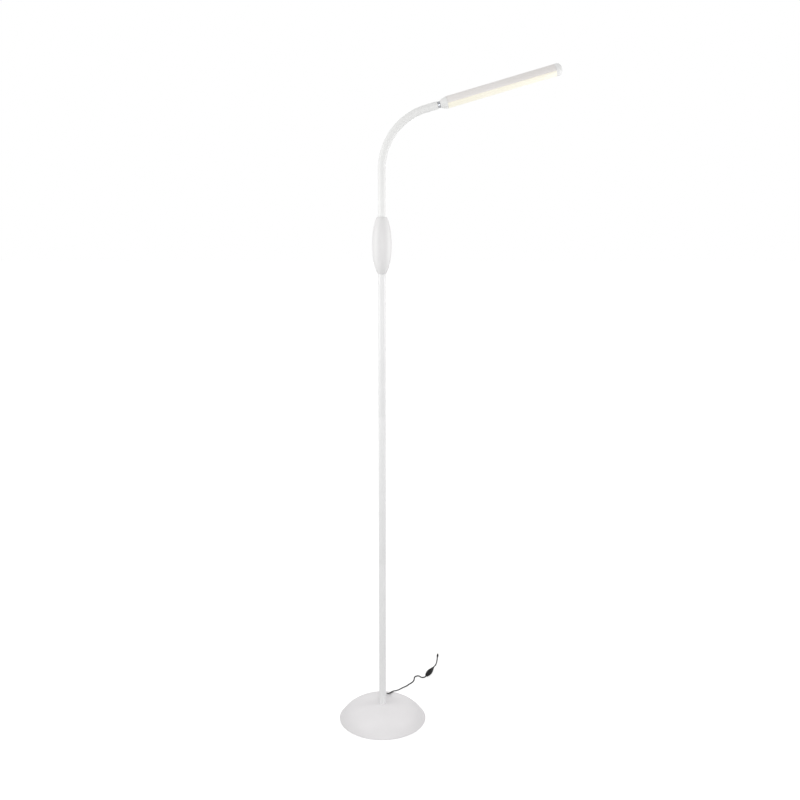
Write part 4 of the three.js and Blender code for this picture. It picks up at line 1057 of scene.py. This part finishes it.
def switch_rocker():
    """A key with a round shoulder at each end and a hollow between them, tipped on its pin.

    Each shoulder runs between two angles, in degrees above level.
    """
    low, high = 14, 62
    outline = arc(ROCKER_REACH, low, high, 12)
    outline += [(1.6, ROCKER_REACH * 0.75), (0, ROCKER_REACH * 0.72), (-1.6, ROCKER_REACH * 0.75)]
    outline += arc(ROCKER_REACH, 180 - high, 180 - low, 12) + [(-1.5, -1), (1.5, -1)]
    turn = Matrix.Translation(Vector((0, ROCKER_PIN_HEIGHT, ROCKER_STATION)) * MM)
    turn = turn @ Matrix.Rotation(-math.radians(ROCKER_TILT), 4, "X")
    turn = SWITCH_PLACE @ turn @ Matrix.Rotation(math.pi / 2, 4, "Y")
    mesh = prism("rocker_key", outline, -ROCKER_WIDTH / 2, ROCKER_WIDTH / 2, turn)
    mesh = bevelled(mesh, 0.3, 3, 40)
    return shaped("rocker_key", mesh, "rocker", "black_plastic", "switch_rocker")


def plug_pieces():
    """A ribbed grip, and a hollow barrel that stands out of its end."""
    place = placed(Vector(PLUG_START) * MM, level_direction(PLUG_ANGLE))
    neck = PLUG_GRIP_RADIUS - 0.45
    section = [(1.65, 0.2), (1.8, 0), (2, 0.25), (neck, 3.6)]
    rings, pitch = 4, 2
    for i in range(rings):
        foot = 4 + i * pitch
        section += [(PLUG_GRIP_RADIUS, foot + 0.3), (PLUG_GRIP_RADIUS, foot + pitch - 0.6)]
        section += [(neck, foot + pitch - 0.35), (neck, foot + pitch - 0.1)]
    section += [(neck, PLUG_GRIP_LENGTH - 0.3), (neck - 0.3, PLUG_GRIP_LENGTH)]
    section += [(0, PLUG_GRIP_LENGTH), (0, 0.2)]
    grip = turned("plug_sleeve", section, place, 56, sharp=55)
    start, end = PLUG_GRIP_LENGTH - 0.2, PLUG_GRIP_LENGTH + BARREL_SHOWN
    bore, floor = 0.6, start + 1.5
    wall = [(0, start), (BARREL_RADIUS, start), (BARREL_RADIUS, end - 0.35), (1.3, end)]
    wall += [(0.75, end), (bore, end - 0.4), (bore, floor), (0, floor)]
    barrel = turned("plug_tip", wall, place, 48)
    return [
        shaped("plug_sleeve", grip, "stand", "black_plastic", "plug_grip"),
        shaped("plug_tip", barrel, "stand", "nickel", "plug_barrel"),
    ]


# ---- Assembly --------------------------------------------------------------------------------

base_cover()
for number in (1, 2, 3):
    pole_section(number)
strain_relief()
handle_front()
handle_rear()
for number in (0, 1):
    handle_screw(number)
flexible_arm()
arm_ferrule()
swivel_neck()
neck_ring()
inner_cap()
outer_cap()
head_housing()
head_diffuser()
on_cord = [*switch_shells(), switch_rocker(), *plug_pieces()]
dress_cad_nodes()

# ---- Floor and light -------------------------------------------------------------------------

FLOOR_COLOUR = 0.56
FLOOR_LIFT = 0.68
FLOOR_REACH = 30
HORIZON_LIGHT = 0.6
ZENITH_LIGHT = 0.68


def seen_directly(nodes):
    """1 for rays from the camera, off a glossy surface or through glass, and 0 for the rest."""
    path = nodes.add("ShaderNodeLightPath")
    total = path.outputs["Is Camera Ray"]
    for kind in ("Is Glossy Ray", "Is Transmission Ray"):
        inputs = {0: total, 1: path.outputs[kind]}
        total = nodes.add("ShaderNodeMath", inputs, operation="MAXIMUM").outputs[0]
    return total


def add_floor():
    """A pale floor, lifted to white where it is seen directly."""
    nodes = Nodes("pale_floor")
    nodes.join("Base Color", (FLOOR_COLOUR, FLOOR_COLOUR, FLOOR_COLOUR))
    nodes.join("Roughness", 0.9)
    nodes.join("Specular IOR Level", 0.0)
    nodes.join("Emission Color", (1.0, 1.0, 1.0))
    inputs = {0: seen_directly(nodes), 1: FLOOR_LIFT}
    lift = nodes.add("ShaderNodeMath", inputs, operation="MULTIPLY")
    nodes.join("Emission Strength", lift.outputs[0])
    corners = ((-1, -1), (1, -1), (1, 1), (-1, 1))
    points = [Vector((x, y, 0)) * FLOOR_REACH for x, y in corners]
    floor = add_object("floor", clean_mesh("floor", points, [[0, 1, 2, 3]]))
    floor.data.materials.append(nodes.material)


class WorldNodes(Nodes):
    """The same for the world, whose last node is its background."""

    def __init__(self):
        world = bpy.data.worlds.new("studio")
        world.use_nodes = True
        scene.world = world
        self.tree = world.node_tree
        self.background = self.tree.nodes["Background"]


def add_world():
    """White where it is seen directly. The light that it gives grows towards the zenith."""
    nodes = WorldNodes()
    nodes.background.inputs["Color"].default_value = (1, 1, 1, 1)
    ray = nodes.add("ShaderNodeTexCoord").outputs["Generated"]
    height = nodes.add("ShaderNodeSeparateXYZ", {0: ray}).outputs["Z"]
    light = nodes.spread(height, HORIZON_LIGHT, ZENITH_LIGHT, (0, 1))
    inputs = {"Value": seen_directly(nodes), "To Min": light, "To Max": 1.0}
    strength = nodes.add("ShaderNodeMapRange", inputs).outputs[0]
    nodes.tree.links.new(strength, nodes.background.inputs["Strength"])


def add_panel(name, power, size, place, target):
    """A square lamp, turned to its target."""
    data = bpy.data.lights.new(name, "AREA")
    data.energy = power
    data.size = size
    lamp = bpy.data.objects.new(name, data)
    lamp.location = place
    direction = Vector(target) - Vector(place)
    lamp.rotation_euler = direction.to_track_quat("-Z", "Y").to_euler()
    scene.collection.objects.link(lamp)


add_floor()
add_world()
add_panel("left", power=3.5, size=0.7, place=(-0.85, -0.2, 1.05), target=(0, 0, 0.9))
add_panel("right", power=2.6, size=0.5, place=(0.85, 0, 1.05), target=(0, 0, 0.85))
add_panel("front", power=6.2, size=0.7, place=(0.2, -1.5, 1), target=(0, 0, 0.6))
scene.view_settings.view_transform = "Standard"
